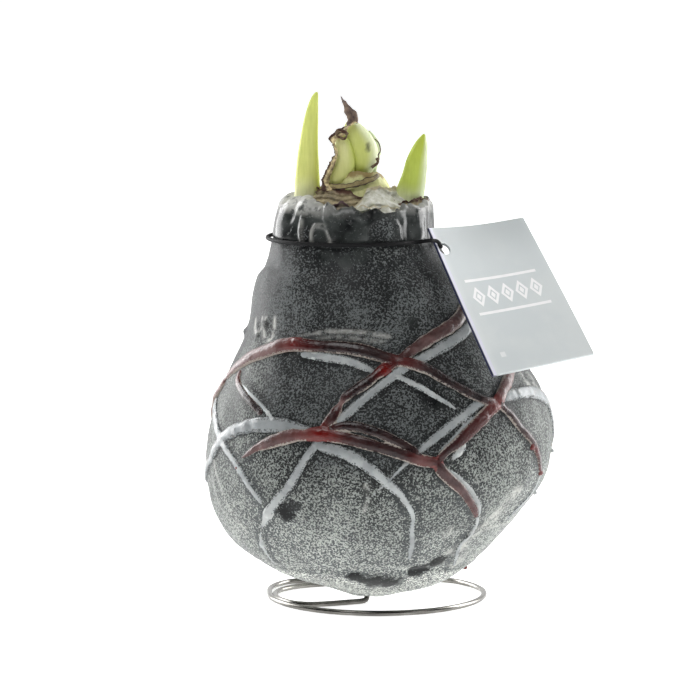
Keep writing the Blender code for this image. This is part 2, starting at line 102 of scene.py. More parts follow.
# %% Colour helper
def paint(code):
    """A hex colour as linear RGBA."""
    parts = [int(code[i:i + 2], 16) / 255 for i in (0, 2, 4)]
    linear = [c / 12.92 if c <= 0.04045 else ((c + 0.055) / 1.055) ** 2.4 for c in parts]
    return (*linear, 1.0)


# %% Floor, world and lamps
PAPER_GLOW = 0.75
PAPER_HALF_WIDTH = 4.0      # metres, as are the next three
PAPER_FRONT, PAPER_BEND_AT, PAPER_BEND, PAPER_TOP = -3.0, 3.0, 1.5, 5.0
WORLD_FRONT = 0.62
WORLD_BACK = 1.25
WORLD_FADE = (-0.75, 0.35)  # where round the sky the dim front gives way to the bright back
AIM = (0.0, 0.0, 70.0)


def paper_material():
    """White paper that is lit from behind, so it stays pure white all over."""
    material = bpy.data.materials.new("studio_paper")
    material.use_nodes = True
    shader = material.node_tree.nodes["Principled BSDF"]
    for socket, value in (("Base Color", (0.9, 0.9, 0.9, 1.0)), ("Roughness", 0.9),
                          ("Emission Color", (1.0, 1.0, 1.0, 1.0)),
                          ("Emission Strength", PAPER_GLOW)):
        shader.inputs[socket].default_value = value
    return material


def studio_floor():
    """A sheet of white paper that lies flat and then curves up far behind the object."""
    shape = bmesh.new()
    rows = [(PAPER_FRONT, 0.0), (PAPER_BEND_AT, 0.0)]
    rows += [(PAPER_BEND_AT + PAPER_BEND * math.sin(t), PAPER_BEND - PAPER_BEND * math.cos(t))
             for t in (math.radians(d) for d in range(10, 91, 10))]
    rows.append((PAPER_BEND_AT + PAPER_BEND, PAPER_TOP))
    edges = [[shape.verts.new((side * PAPER_HALF_WIDTH, y, z)) for side in (-1, 1)]
             for y, z in rows]
    for near, far in zip(edges, edges[1:]):
        shape.faces.new((near[0], near[1], far[1], far[0]))
    mesh = bpy.data.meshes.new("studio_paper")
    shape.to_mesh(mesh)
    shape.free()
    mesh.shade_smooth()
    mesh.materials.append(paper_material())
    floor = bpy.data.objects.new("studio_paper", mesh)
    bpy.context.scene.collection.objects.link(floor)


def area_lamp(name, at, aim, size, watts):
    """A soft box at a place in millimetres, with its width and height in metres."""
    data = bpy.data.lights.new(name, "AREA")
    data.shape = "RECTANGLE"
    data.size, data.size_y = size
    data.energy = watts
    lamp = bpy.data.objects.new(name, data)
    lamp.location = world(at)
    direction = Vector(world(aim)) - lamp.location
    lamp.rotation_euler = direction.to_track_quat("-Z", "Y").to_euler()
    bpy.context.scene.collection.objects.link(lamp)


def studio_world():
    """Dim in front and bright at the sides and back, as in a white light tent."""
    studio = bpy.data.worlds.new("studio")
    studio.use_nodes = True
    tree = studio.node_tree
    place = tree.nodes.new("ShaderNodeTexCoord")
    split = tree.nodes.new("ShaderNodeSeparateXYZ")
    fade = tree.nodes.new("ShaderNodeMapRange")
    fade.interpolation_type = "SMOOTHSTEP"
    for socket, value in (("From Min", WORLD_FADE[0]), ("From Max", WORLD_FADE[1]),
                          ("To Min", WORLD_FRONT), ("To Max", WORLD_BACK)):
        fade.inputs[socket].default_value = value
    tree.links.new(place.outputs["Generated"], split.inputs["Vector"])
    tree.links.new(split.outputs["Y"], fade.inputs["Value"])
    tree.links.new(fade.outputs["Result"], tree.nodes["Background"].inputs["Strength"])
    bpy.context.scene.world = studio


studio_floor()
studio_world()
for name, at, size, watts in (
        ("key", (-350.0, -500.0, 1050.0), (0.6, 0.6), 6.0),
        ("fill", (900.0, -700.0, 500.0), (0.4, 0.6), 1.2),
        ("left_rim", (-800.0, 610.0, 200.0), (0.6, 1.4), 20.0),
        ("right_rim", (850.0, 420.0, 200.0), (0.6, 1.4), 20.0)):
    area_lamp(name, at, AIM, size, watts)

# %% [markdown]
# ## Noise, curves and meshes
# Everything organic here is a plain grid or tube whose points are pushed about by the same
# smooth noise. The noise is worked out with numpy for a whole mesh at once, so it is quick and
# always the same.


# %% Noise
def lattice_hash(corner, seed):
    """A repeatable number from -1 to 1 for each whole-numbered corner of space."""
    corner = corner.astype(np.int64)
    mixed = corner[:, 0] * 73856093 ^ corner[:, 1] * 19349663 ^ corner[:, 2] * 83492791
    mixed = (mixed ^ seed * 2654435761) & 0xFFFFFFFF
    for shift, factor in ((15, 0x2C1B3C6D), (12, 0x297A2D39), (15, 1)):
        mixed = ((mixed ^ (mixed >> shift)) * factor) & 0xFFFFFFFF
    return mixed / 0x7FFFFFFF - 1.0


def clumps(points, size, seed=0):
    """Smooth noise from -1 to 1 whose lumps are about size millimetres across."""
    place = np.asarray(points, float).reshape(-1, 3) / size
    cell = np.floor(place)
    inside = place - cell
    blend = inside * inside * (3 - 2 * inside)
    total = np.zeros(len(place))
    for dx in (0, 1):
        for dy in (0, 1):
            for dz in (0, 1):
                weight = (np.abs(1 - dx - blend[:, 0]) * np.abs(1 - dy - blend[:, 1])
                          * np.abs(1 - dz - blend[:, 2]))
                total += weight * lattice_hash(cell + (dx, dy, dz), seed)
    return total


def layered(points, *layers):
    """Noise in several layers, each with its own amount, size and seed."""
    return sum(amount * clumps(points, size, seed) for amount, size, seed in layers)


def bell(distance, width):
    return np.exp(-(np.asarray(distance) / width) ** 2)


def angle_gap(angle, target):
    return (np.asarray(angle) - target + 180.0) % 360.0 - 180.0


def circle_points(degrees, radius):
    """Points round a flat circle, where noise is read so that it joins up all the way round."""
    turn = np.radians(degrees)
    return np.column_stack([np.cos(turn) * radius, np.sin(turn) * radius, np.zeros_like(turn)])


def ease(value, low, high):
    """0 below low, 1 above high, and smooth between."""
    t = np.clip((np.asarray(value, float) - low) / (high - low), 0.0, 1.0)
    return t * t * (3 - 2 * t)


# %% Curves and meshes
CURVE_SAMPLES = 24          # between two controls


def smooth_rows(controls, spacing, measure=None):
    """Rows on a Catmull-Rom curve through the controls, about spacing apart along it."""
    controls = np.asarray(controls, float)
    padded = np.vstack([controls[0], controls, controls[-1]])
    rows = []
    for i in range(1, len(padded) - 2):
        p0, p1, p2, p3 = padded[i - 1:i + 3]
        for t in np.linspace(0.0, 1.0, CURVE_SAMPLES, endpoint=False):
            rows.append(0.5 * (2 * p1 + (p2 - p0) * t + (2 * p0 - 5 * p1 + 4 * p2 - p3) * t * t
                               + (3 * p1 - p0 - 3 * p2 + p3) * t ** 3))
    rows = np.array(rows + [controls[-1]])
    solid = measure(rows) if measure else rows[:, :3]
    along = np.concatenate([[0], np.cumsum(np.linalg.norm(np.diff(solid, axis=0), axis=1))])
    stops = np.linspace(0, along[-1], max(2, round(along[-1] / spacing) + 1))
    return np.column_stack([np.interp(stops, along, column) for column in rows.T])


def ring_faces(rings, columns):
    """Quads between closed rings of points, facing out when rings rise and turn left."""
    faces = []
    for low in range(0, (rings - 1) * columns, columns):
        high = low + columns
        for j in range(columns):
            k = (j + 1) % columns
            faces.append((low + j, low + k, high + k, high + j))
    return faces


def capped_faces(rings, columns):
    """Quads facing out when rings rise and turn right, and a face over each end."""
    last = (rings - 1) * columns
    return ([face[::-1] for face in ring_faces(rings, columns)]
            + [tuple(range(columns)), tuple(reversed(range(last, last + columns)))])


def mesh_object(name, points_m, faces):
    mesh = bpy.data.meshes.new(name)
    mesh.from_pydata(points_m.tolist(), [], faces)
    body = bpy.data.objects.new(name, mesh)
    bpy.context.scene.collection.objects.link(body)
    return body


def add_piece(name, points, faces, material, nodes=(), marks=None):
    """A smooth mesh piece that rides on the root, with its per-point marks."""
    piece = mesh_object(name, world(points), faces)
    mesh = piece.data
    mesh.materials.append(material)
    mesh.shade_smooth()
    for mark, values in (marks or {}).items():
        layer = mesh.attributes.new(mark, "FLOAT", "POINT")
        layer.data.foreach_set("value", np.asarray(values, np.float32))
    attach(piece, "root")
    if nodes:
        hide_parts(*nodes)
    print(f"{name}: {len(points)} points, {len(faces)} faces")
    return piece


def settle(body):
    """Points in metres and faces of an object after its modifiers; the object is removed."""
    raw = body.data
    done = bpy.data.meshes.new_from_object(
        body.evaluated_get(bpy.context.evaluated_depsgraph_get()))
    points = np.empty(len(done.vertices) * 3)
    done.vertices.foreach_get("co", points)
    faces = [tuple(polygon.vertices) for polygon in done.polygons]
    bpy.data.objects.remove(body)
    for mesh in (raw, done):
        bpy.data.meshes.remove(mesh)
    return points.reshape(-1, 3), faces


def tube_shell(path, radii, sides, squash=1.0, facing=None):
    """Points and faces of a closed tube along a path, with a radius for each row."""
    path = np.asarray(path, float)
    radii = np.broadcast_to(radii, len(path))
    ahead = np.gradient(path, axis=0)
    ahead /= np.linalg.norm(ahead, axis=1)[:, None]
    points = []
    side = None
    for i, row in enumerate(path):
        if facing is not None:
            side = np.cross(ahead[i], facing[i])
        elif side is None:
            side = np.cross(ahead[i], (0.0, 0.0, 1.0))
            if np.linalg.norm(side) < 0.1:
                side = np.cross(ahead[i], (0.0, 1.0, 0.0))
        else:
            side = side - ahead[i] * np.dot(side, ahead[i])
        side = side / np.linalg.norm(side)
        up = np.cross(side, ahead[i])
        for k in range(sides):
            turn = 2 * math.pi * k / sides
            points.append(row + radii[i] * (side * math.cos(turn)
                                            + up * squash * math.sin(turn)))
    return np.array(points), capped_faces(len(path), sides)

# %% [markdown]
# ## Finishes
# A material here is one Principled shader fed by a few small node groups. Bloom is the pale
# crust of fine worm-like specks that cools on the wax, mottle is slow colour change, and fibre
# is the fine streaking of plant skin. Each is built once as a group with named sockets and put
# into each material with its own values.


# %% Node helpers
def new_group(name, inputs, outputs):
    """An empty shader group with named float inputs (and defaults) and float outputs."""
    tree = bpy.data.node_groups.new(name, "ShaderNodeTree")
    for socket, value in inputs.items():
        made = tree.interface.new_socket(socket, in_out="INPUT", socket_type="NodeSocketFloat")
        made.default_value = value
    for socket in outputs:
        tree.interface.new_socket(socket, in_out="OUTPUT", socket_type="NodeSocketFloat")
    return tree, tree.nodes.new("NodeGroupInput"), tree.nodes.new("NodeGroupOutput")


def wire(tree, source, target):
    tree.links.new(source, target)


def feed(tree, socket, operand):
    """Sets a number, tuple or hex colour on a socket, or wires another socket to it."""
    if isinstance(operand, str):
        operand = paint(operand)
    if isinstance(operand, (int, float, tuple)):
        socket.default_value = operand
    else:
        wire(tree, operand, socket)


def maths(tree, operation, first, second=0.0, clamp=False):
    """A Math node; each operand is a socket or a number. Returns its output."""
    node = tree.nodes.new("ShaderNodeMath")
    node.operation = operation
    node.use_clamp = clamp
    for slot, operand in zip(node.inputs, (first, second)):
        feed(tree, slot, operand)
    return node.outputs["Value"]


def plus(tree, first, second):
    return maths(tree, "ADD", first, second)


def minus(tree, first, second):
    return maths(tree, "SUBTRACT", first, second)


def times(tree, first, second, clamp=False):
    return maths(tree, "MULTIPLY", first, second, clamp)


def larger(tree, first, second):
    return maths(tree, "MAXIMUM", first, second)


def add_scaled(tree, base, value, gain):
    """The base plus the value times the gain."""
    return plus(tree, base, times(tree, value, gain))


def noise_value(tree, vector, scale, detail=2.0, roughness=0.5, distortion=0.0):
    node = tree.nodes.new("ShaderNodeTexNoise")
    for socket, operand in (("Vector", vector), ("Scale", scale), ("Detail", detail),
                            ("Roughness", roughness), ("Distortion", distortion)):
        feed(tree, node.inputs[socket], operand)
    return node.outputs["Fac"]


def ramp(tree, value, low, high):
    """0 below low, 1 above high, eased between, or the reverse where low is above high."""
    node = tree.nodes.new("ShaderNodeMapRange")
    node.interpolation_type = "SMOOTHSTEP"
    for socket, operand in (("Value", value), ("From Min", low), ("From Max", high)):
        feed(tree, node.inputs[socket], operand)
    return node.outputs["Result"]


def blend(tree, share, first, second, mode="MIX"):
    """A colour mix; the colours are sockets, RGBA tuples or hex codes."""
    node = tree.nodes.new("ShaderNodeMix")
    node.data_type = "RGBA"
    node.blend_type = mode
    for socket, operand in ((node.inputs["Factor"], share), (node.inputs[6], first),
                            (node.inputs[7], second)):
        feed(tree, socket, operand)
    return node.outputs[2]


def coordinates(tree):
    return tree.nodes.new("ShaderNodeTexCoord").outputs["Object"]


def stretched(tree, vector, scale):
    node = tree.nodes.new("ShaderNodeMapping")
    wire(tree, vector, node.inputs["Vector"])
    node.inputs["Scale"].default_value = scale
    return node.outputs["Vector"]


def mark(tree, name):
    """A per-point mark of the mesh, as a value."""
    node = tree.nodes.new("ShaderNodeAttribute")
    node.attribute_name = name
    return node.outputs["Fac"]


def put(tree, group, **values):
    """Places a group; each value is a socket or a number. Returns its outputs."""
    node = tree.nodes.new("ShaderNodeGroup")
    node.node_tree = group
    for socket, operand in values.items():
        feed(tree, node.inputs[socket], operand)
    return node.outputs


def new_material(name, **settings):
    """A material and its Principled shader, with constant sockets set on the shader."""
    material = bpy.data.materials.new(name)
    material.use_nodes = True
    shader = material.node_tree.nodes["Principled BSDF"]
    for socket, value in settings.items():
        shader.inputs[socket.replace("_", " ")].default_value = value
    return material, material.node_tree, shader


def dress(tree, shader, colour, rough, height, depth_mm):
    """Gives the shader its colour, its roughness and a bump so many millimetres deep."""
    wire(tree, colour, shader.inputs["Base Color"])
    wire(tree, rough, shader.inputs["Roughness"])
    bump = tree.nodes.new("ShaderNodeBump")
    bump.inputs["Distance"].default_value = depth_mm * MM
    wire(tree, height, bump.inputs["Height"])
    wire(tree, bump.outputs["Normal"], shader.inputs["Normal"])


# %% Shared effects
def build_bloom():
    """Fine worm-like specks. Density is how much of the wax they cover, from 0 to 1."""
    tree, given, result = new_group(
        "wax_bloom", {"Density": 0.5, "Scale": 1900.0, "Softness": 0.06}, ("Mask", "Height"))
    place = coordinates(tree)
    scale, softness = given.outputs["Scale"], given.outputs["Softness"]
    worms = noise_value(tree, place, scale, 1.2, 0.6, 0.5)
    coarse = noise_value(tree, place, times(tree, scale, 0.12), 2.0, 0.6)
    mixed = plus(tree, times(tree, worms, 0.84), times(tree, coarse, 0.16))
    gate = add_scaled(tree, 0.68, given.outputs["Density"], -0.36)
    mask = ramp(tree, mixed, minus(tree, gate, softness), plus(tree, gate, softness))
    wire(tree, mask, result.inputs["Mask"])
    wire(tree, times(tree, mask, worms), result.inputs["Height"])
    return tree


def build_streaks(name, scale, stretch, detail, roughness, distortion=0.0):
    """Change over the surface from 0 to 1, drawn out along the axes by the stretch."""
    tree, given, result = new_group(name, {"Scale": scale, "Contrast": 0.5}, ("Value",))
    place = stretched(tree, coordinates(tree), stretch)
    value = noise_value(tree, place, given.outputs["Scale"], detail, roughness, distortion)
    low = add_scaled(tree, 0.5, given.outputs["Contrast"], -0.3)
    wire(tree, ramp(tree, value, low, minus(tree, 1.0, low)), result.inputs["Value"])
    return tree


BLOOM = build_bloom()
MOTTLE = build_streaks("mottle", 60.0, (1.0, 1.0, 1.0), 4.0, 0.55)
FIBRE = build_streaks("fibre", 900.0, (1.0, 1.0, 0.06), 3.0, 0.6, 0.3)
print("shared effects:", [group.name for group in bpy.data.node_groups])

# %% [markdown]
# ## The wax coat
# The coat is a lopsided pear with a rolled collar. A lathe could not make it, because its left
# and right edges differ, so the outline holds both edges at a few heights and every level is an
# ellipse between them. The same function then places everything that lies on the wax.

# %% The outline of the coat
WAX_OUTLINE = np.array((    # height, left edge, right edge
    (2.4, -8.0, 6.0), (4.8, -14.6, 16.5), (9.5, -28.4, 25.0), (16.5, -40.0, 32.8),
    (26.0, -46.8, 40.8), (35.0, -49.2, 47.6), (45.0, -49.4, 50.6), (54.0, -47.9, 50.2),
    (63.5, -44.7, 46.8), (77.5, -38.3, 37.4), (91.5, -34.6, 27.2), (101.0, -31.4, 19.8),
    (107.5, -30.3, 16.4), (116.0, -28.4, 16.0)))
BULB_Y = -8.0
BULB_DEPTH = 0.98
BASE_Z, RIM_Z = WAX_OUTLINE[0, 0], WAX_OUTLINE[-1, 0]
CORD_Z = 106.1


def outline_tables():
    """Left and right edges at close heights, by cubics whose slopes span two neighbours."""
    levels, edges = WAX_OUTLINE[:, 0], WAX_OUTLINE[:, 1:]
    before = np.clip(np.arange(len(levels)) - 1, 0, None)
    after = np.clip(np.arange(len(levels)) + 1, None, len(levels) - 1)
    slopes = (edges[after] - edges[before]) / (levels[after] - levels[before])[:, None]
    heights = np.linspace(BASE_Z, RIM_Z, 1200)
    i = np.clip(np.searchsorted(levels, heights, side="right") - 1, 0, len(levels) - 2)
    span = (levels[i + 1] - levels[i])[:, None]
    t = (heights - levels[i])[:, None] / span
    values = ((2 * t ** 3 - 3 * t * t + 1) * edges[i] + (t ** 3 - 2 * t * t + t) * span * slopes[i]
              + (3 * t * t - 2 * t ** 3) * edges[i + 1] + (t ** 3 - t * t) * span * slopes[i + 1])
    return heights, values


TABLE_HEIGHTS, TABLE_EDGES = outline_tables()


def bare_surface(angle, height):
    """Points on the plain pear, at angles in degrees and heights."""
    left = np.interp(height, TABLE_HEIGHTS, TABLE_EDGES[:, 0])
    right = np.interp(height, TABLE_HEIGHTS, TABLE_EDGES[:, 1])
    half = (right - left) / 2
    turn = np.radians(angle)
    return np.column_stack([(left + right) / 2 + half * np.cos(turn),
                            BULB_Y + BULB_DEPTH * half * np.sin(turn),
                            np.broadcast_to(height, half.shape)])


def pear_point(angle, height):
    return bare_surface(np.array([angle]), np.array([float(height)]))


def surface_normal(angle, height):
    angle, height = np.atleast_1d(angle).astype(float), np.atleast_1d(height).astype(float)
    around = bare_surface(angle + 0.2, height) - bare_surface(angle - 0.2, height)
    up = (bare_surface(angle, np.minimum(height + 0.4, RIM_Z))
          - bare_surface(angle, np.maximum(height - 0.4, BASE_Z)))
    normal = np.cross(around, up)
    return normal / np.linalg.norm(normal, axis=1)[:, None]


# %% [markdown]
# ## The routes of the drizzle
# Poured threads land in straight slanting strokes, and they pool where they cross. Each stroke
# is a short list of angle, height and half width on the wax. They are set out before the coat,
# because the coat swells a little under each of them.

# %% Strokes of red and white wax
LEFT_KNOT = (-110, 55)
RIGHT_KNOT = (-46, 62)
LOW_KNOT = (-72, 47)
# Each row is angle, height, half width, frost and glow. Frost pales the wax to a milky pink or
# white; glow is how clear and bright it stays. White rows leave out the glow, which is 0.
RED_STROKES = {
    "upper_arc": ((-172, 66, 1.34, 0.8, 0.1), (-166, 69, 1.71, 0.7, 0.1),
        (-156, 72.6, 2.07, 0.6, 0.2), (-147, 75, 2.2, 0.6, 0.2), (-137, 77.2, 2.32, 0.5, 0.35),
        (-130, 78.3, 2.32, 0.25, 0.8), (-126, 78.5, 2.2, 0, 0.7), (-121, 78.4, 2, 0, 0.4),
        (-110, 78.3, 2, 0, 0), (-103, 78.2, 2, 0, 0), (-94.6, 77.4, 2, 0, 0),
        (-86.6, 75.8, 1.9, 0, 0.05), (-81, 74.6, 1.8, 0.1, 0.5), (-75, 73.4, 1.8, 0.1, 0.25),
        (-70, 72, 1.7, 0, 0), (-66, 70, 1.7, 0, 0), (-56, 65, 1.6, 0, 0), (-51, 62.8, 1.4, 0, 0.1),
        (*RIGHT_KNOT, 1.71, 0.2, 0.9)),
    "back_arc": ((10, 50, 0.61, 0.6, 0.2), (25, 58, 1.22, 0.4, 0.3), (42, 64, 1.46, 0.2, 0.3),
        (65, 66, 1.34, 0.1, 0.2), (90, 60, 1.59, 0.3, 0.6), (115, 51, 1.95, 0.2, 0.9),
        (138, 46, 1.22, 0.1, 0.2), (160, 49, 1.34, 0.5, 0.2), (179, 58, 1.46, 0.7, 0.1),
        (188, 66, 1.46, 0.9, 0.1)),
    "slant": ((-30, 88.6, 1.9, 0.4, 0), (-40, 85.8, 1.9, 0.4, 0), (-47, 84, 2.07, 0.4, 0),
        (-62, 81, 1.95, 0.35, 0.05), (-73, 78, 1.8, 0.3, 0.1), (-81, 75, 1.5, 0.1, 0.2),
        (-85, 73.6, 1.5, 0, 0.5), (-88, 72.4, 2.1, 0, 1), (-91.6, 70.8, 1.5, 0, 0.3),
        (-95, 69, 1.6, 0, 0), (-99.4, 67, 1.7, 0, 0), (-102.8, 65.2, 1.4, 0, 0.1),
        (-104.4, 63.4, 0.8, 1, 0), (-105.6, 61.6, 1.5, 0.1, 0.2), (-107.3, 59.1, 1.7, 0, 0.1),
        (-109.2, 57.2, 1.3, 0.1, 0.6), (*LEFT_KNOT, 1.83, 0, 1)),
    "belly_arc": ((-142, 46, 0.37, 0.5, 0), (-138, 48, 0.98, 0.3, 0.1), (-134, 50, 1.34, 0.4, 0.3),
        (-128, 52, 1.9, 0.3, 0.15), (-121, 54, 2.07, 0.4, 0.35), (-116, 54.4, 1.71, 0.4, 0.8),
        (*LEFT_KNOT, 2.44, 0, 1), (-105.4, 54.4, 1.9, 0.1, 0.8), (-102, 54.1, 1.9, 0, 0.25),
        (-94, 52.5, 1.8, 0, 0.1), (-84, 50, 1.7, 0, 0.05), (-77, 48, 1.8, 0.2, 0.6),
        (*LOW_KNOT, 1.8, 0.1, 0.2), (-70, 44.8, 1.7, 0.2, 0.1), (-66.2, 41.9, 1.6, 0.3, 0.1),
        (-61.8, 39.1, 1.5, 0.35, 0.1), (-57.5, 35.8, 1.4, 0.3, 0.2), (-53.5, 32.9, 1.2, 0.2, 0.3),
        (-51.1, 31.1, 1, 0.2, 0.3), (-50, 29.8, 0.6, 0.4, 0.2)),
    "low_branch": ((-107, 56.6, 0.8, 0, 0.2), (-102.6, 57.4, 1.4, 0, 0.05),
        (-97.3, 57.1, 1.6, 0, 0), (-90.6, 55.4, 1.5, 0, 0), (-84, 52.8, 1.3, 0, 0),
        (-78, 50, 1.1, 0, 0.1)),
    "link": ((-22, 73.5, 1.4, 0.6, 0.2), (-28, 70.2, 1.6, 0.6, 0.2), (-35, 67.3, 1.83, 0.6, 0.2),
        (-41, 64.8, 1.83, 0.4, 0.3), (*RIGHT_KNOT, 2.07, 0.2, 1), (-50, 60.5, 1.95, 0.15, 0.55),
        (-55, 58, 2, 0.05, 0.35), (-61, 54.6, 2, 0, 0.3), (-65, 52.2, 1.6, 0, 0.2),
        (-69, 50, 1.2, 0, 0.1), (*LOW_KNOT, 1.46, 0.1, 0.3)),
    "right_fall": ((*RIGHT_KNOT, 1.2, 0, 0.3), (-41, 58.8, 1.3, 0.1, 0),
        (-36.4, 54.5, 1.4, 0.2, 0), (-31.5, 50.8, 1.3, 0.1, 0.05), (-28, 47.6, 1.3, 0, 0.6),
        (-24.5, 44.4, 1.1, 0.2, 0.1), (-21, 41.2, 0.98, 0.1, 0.6), (-19.5, 40.2, 1.46, 0, 1)),
    "back_fall": ((115, 51, 1.34, 0.2, 0.8), (103, 42, 0.98, 0.2, 0.3), (92, 31, 1.34, 0.1, 0.8)),
}
RED_TRICKLE = {
    "left_fall": ((-158.4, 69.6, 0.9, 0.7, 0.3), (-157, 67, 1.2, 0.4, 0.6),
        (-153.6, 65.4, 1.2, 0.1, 0.3), (-149.7, 64.2, 1.15, 0, 0), (-143.6, 62.2, 1.2, 0, 0),
        (-138.6, 60.4, 1.15, 0, 0), (-134.8, 58.9, 0.8, 0, 0.1)),
}
WHITE_STROKES = {
    "long_slant": ((-27, 85.6, 1.7, 0.2), (-38, 83, 1.7, 0.2), (-46, 81, 1.65, 0.2),
        (-60, 78, 1.71, 0.2), (-72, 75, 1.59, 0.3), (-82, 72, 1.54, 0.3), (-94, 66, 1.49, 0.25),
        (-103, 60, 1.43, 0.3), (-110, 54, 1.38, 0.3), (-115, 48, 1.32, 0.3), (-120, 40, 1.49, 0.4),
        (-126, 34, 1.59, 0.6), (-128.6, 31, 1.87, 0.9), (-130, 29, 1.43, 0.8),
        (-132.4, 26.6, 0.5, 0.4), (-134.6, 24, 0.6, 0.6), (-135.9, 21.2, 1.1, 0.9),
        (-137, 18.8, 0.8, 0.8), (-139, 14, 0.55, 0.6)),
    "left_arc": ((90, 76, 0.66, 0.2), (110, 66, 1.32, 0.3), (135, 52, 1.65, 0.4),
        (160, 38, 1.76, 0.5), (178, 36, 1.65, 0.3), (192, 42, 1.8, 0.2), (201, 48, 2.1, 0.2),
        (208, 52, 2.1, 0.15), (220, 55.4, 2.3, 0.1), (232, 56.4, 2.3, 0.1), (242, 55.6, 2, 0.1),
        (250, 54, 1.4, 0.1)),
    "left_fall": ((115, 78, 0.66, 0.2), (138, 74, 1.1, 0.3), (160, 68, 1.43, 0.4),
        (176, 62, 1.65, 0.4), (190, 56, 1.7, 0.4), (204, 50, 1.5, 0.4), (216, 44, 1.4, 0.5),
        (224, 38, 1.3, 0.6), (229, 33.6, 0.8, 0.6)),
    "front_fall": ((-112, 52, 1.3, 0.1), (-108.4, 51.2, 1.7, 0.2), (-102.9, 50.2, 1.9, 0.3),
        (-97.4, 48.1, 1.9, 0.4), (-92, 45, 1.75, 0.5), (-87.4, 41.8, 1.55, 0.7),
        (-82.6, 38.5, 1.3, 0.8), (-79.1, 35.1, 1, 0.8), (-76.2, 32.1, 1, 0.9), (-75, 30, 0.8, 0.6),
        (-73.8, 27, 1, 0.5), (-71.5, 22.4, 1.2, 0.3), (-70.4, 17.5, 0.8, 0.2)),
    "upper_drift": ((-124, 75.9, 0.88, 0.2), (-115, 75.6, 1.6, 0.3), (-104, 74.9, 1.5, 0.5),
        (-96, 73.3, 1.2, 0.5), (-90, 71.4, 0.8, 0.4)),
    "lower_drift": ((-84, 71, 0.8, 0.5), (-81.3, 70, 1, 0.6), (-73, 66.6, 1.1, 0.8),
        (-67, 63.4, 0.9, 0.6), (-63.4, 61.3, 0.7, 0.4)),
    "right_slant": ((-49, 62.6, 0.99, 0.3), (-54, 62.2, 1.32, 0.3), (-58, 61, 1.43, 0.3),
        (-67, 57, 1.43, 0.3), (-74, 53, 1.43, 0.3), (-79, 49.6, 0.9, 0.3), (-82.6, 46.6, 0.7, 0.3),
        (-86.4, 42.8, 0.6, 0.3), (-90.5, 39.1, 0.5, 0.3), (-92.7, 36.7, 0.4, 0.3)),
    "tail_edge": ((-69.4, 45.6, 0.6, 0.5), (-65, 43.3, 0.9, 0.7), (-60.9, 40.7, 1, 0.8),
        (-56.7, 37.5, 1.05, 0.8), (-52.9, 34.5, 1, 0.8), (-50, 31.9, 0.9, 0.7),
        (-48.8, 30, 0.7, 0.6)),
    "inner_slant": ((-56, 59.4, 0.66, 0.3), (-62, 56.4, 0.94, 0.3), (-68, 52.2, 0.77, 0.3),
        (-72, 50, 0.44, 0.3)),
    "right_arc": ((-44, 62.6, 1.1, 0.3), (-38, 63.4, 1.76, 0.3), (-28, 63.4, 2.09, 0.3),
        (-16, 62, 2.42, 0.3), (-5, 58, 2.42, 0.4), (10, 44, 1.76, 0.4), (30, 34, 1.32, 0.3),
        (48, 26, 0.77, 0.3)),
    "link_foot": ((-61.6, 52.6, 0.8, 0.7), (-64.2, 50, 1.4, 0.9), (-67, 47.6, 0.6, 0.5)),
    "left_link": ((-153.4, 66.2, 0.5, 0.6), (-148.6, 65.1, 0.75, 0.8), (-142.4, 63.4, 0.85, 0.8),
        (-137, 61.5, 0.8, 0.7), (-132.4, 59.5, 0.85, 0.8), (-129.8, 57.9, 0.75, 0.6)),
    "right_rim": ((-18, 39, 0.77, 0.8), (-21, 33, 0.99, 0.5), (-27, 27, 0.88, 0.4)),
}
WHITE_TRICKLE = {
    "low_run": ((-48.8, 29.8, 0.88, 0.7), (-46.2, 27, 0.8, 0.7), (-46.2, 25, 1, 0.9),
        (-48.4, 22.2, 0.85, 0.5), (-47.6, 19.6, 0.95, 0.4), (-44.5, 16.4, 0.8, 0.4),
        (-41, 13.6, 0.5, 0.3)),
}
STROKE_STEP = 0.5


def on_pear(rows):
    return bare_surface(rows[:, 0], rows[:, 1])


def stroke_rows(controls):
    """Angle, height, half width, frost and glow at every half millimetre of a stroke."""
    return smooth_rows([(*row, 0.0)[:5] for row in controls], STROKE_STEP, on_pear)


def all_rows(*families):
    return np.vstack([stroke_rows(controls) for family in families for controls in family.values()])


def tree_of(points):
    tree = KDTree(len(points))
    for i, point in enumerate(points):
        tree.insert(point, i)
    tree.balance()
    return tree


def nearest(tree, points):
    """Distance to, and index of, the nearest stored point for each point."""
    found = [tree.find(point) for point in points]
    return np.array([hit[2] for hit in found]), np.array([hit[1] for hit in found])


red_rows = all_rows(RED_STROKES, RED_TRICKLE)
white_rows = all_rows(WHITE_STROKES, WHITE_TRICKLE)
print("drizzle, mm of stroke:", round(len(red_rows) * STROKE_STEP), "red,",
      round(len(white_rows) * STROKE_STEP), "white")

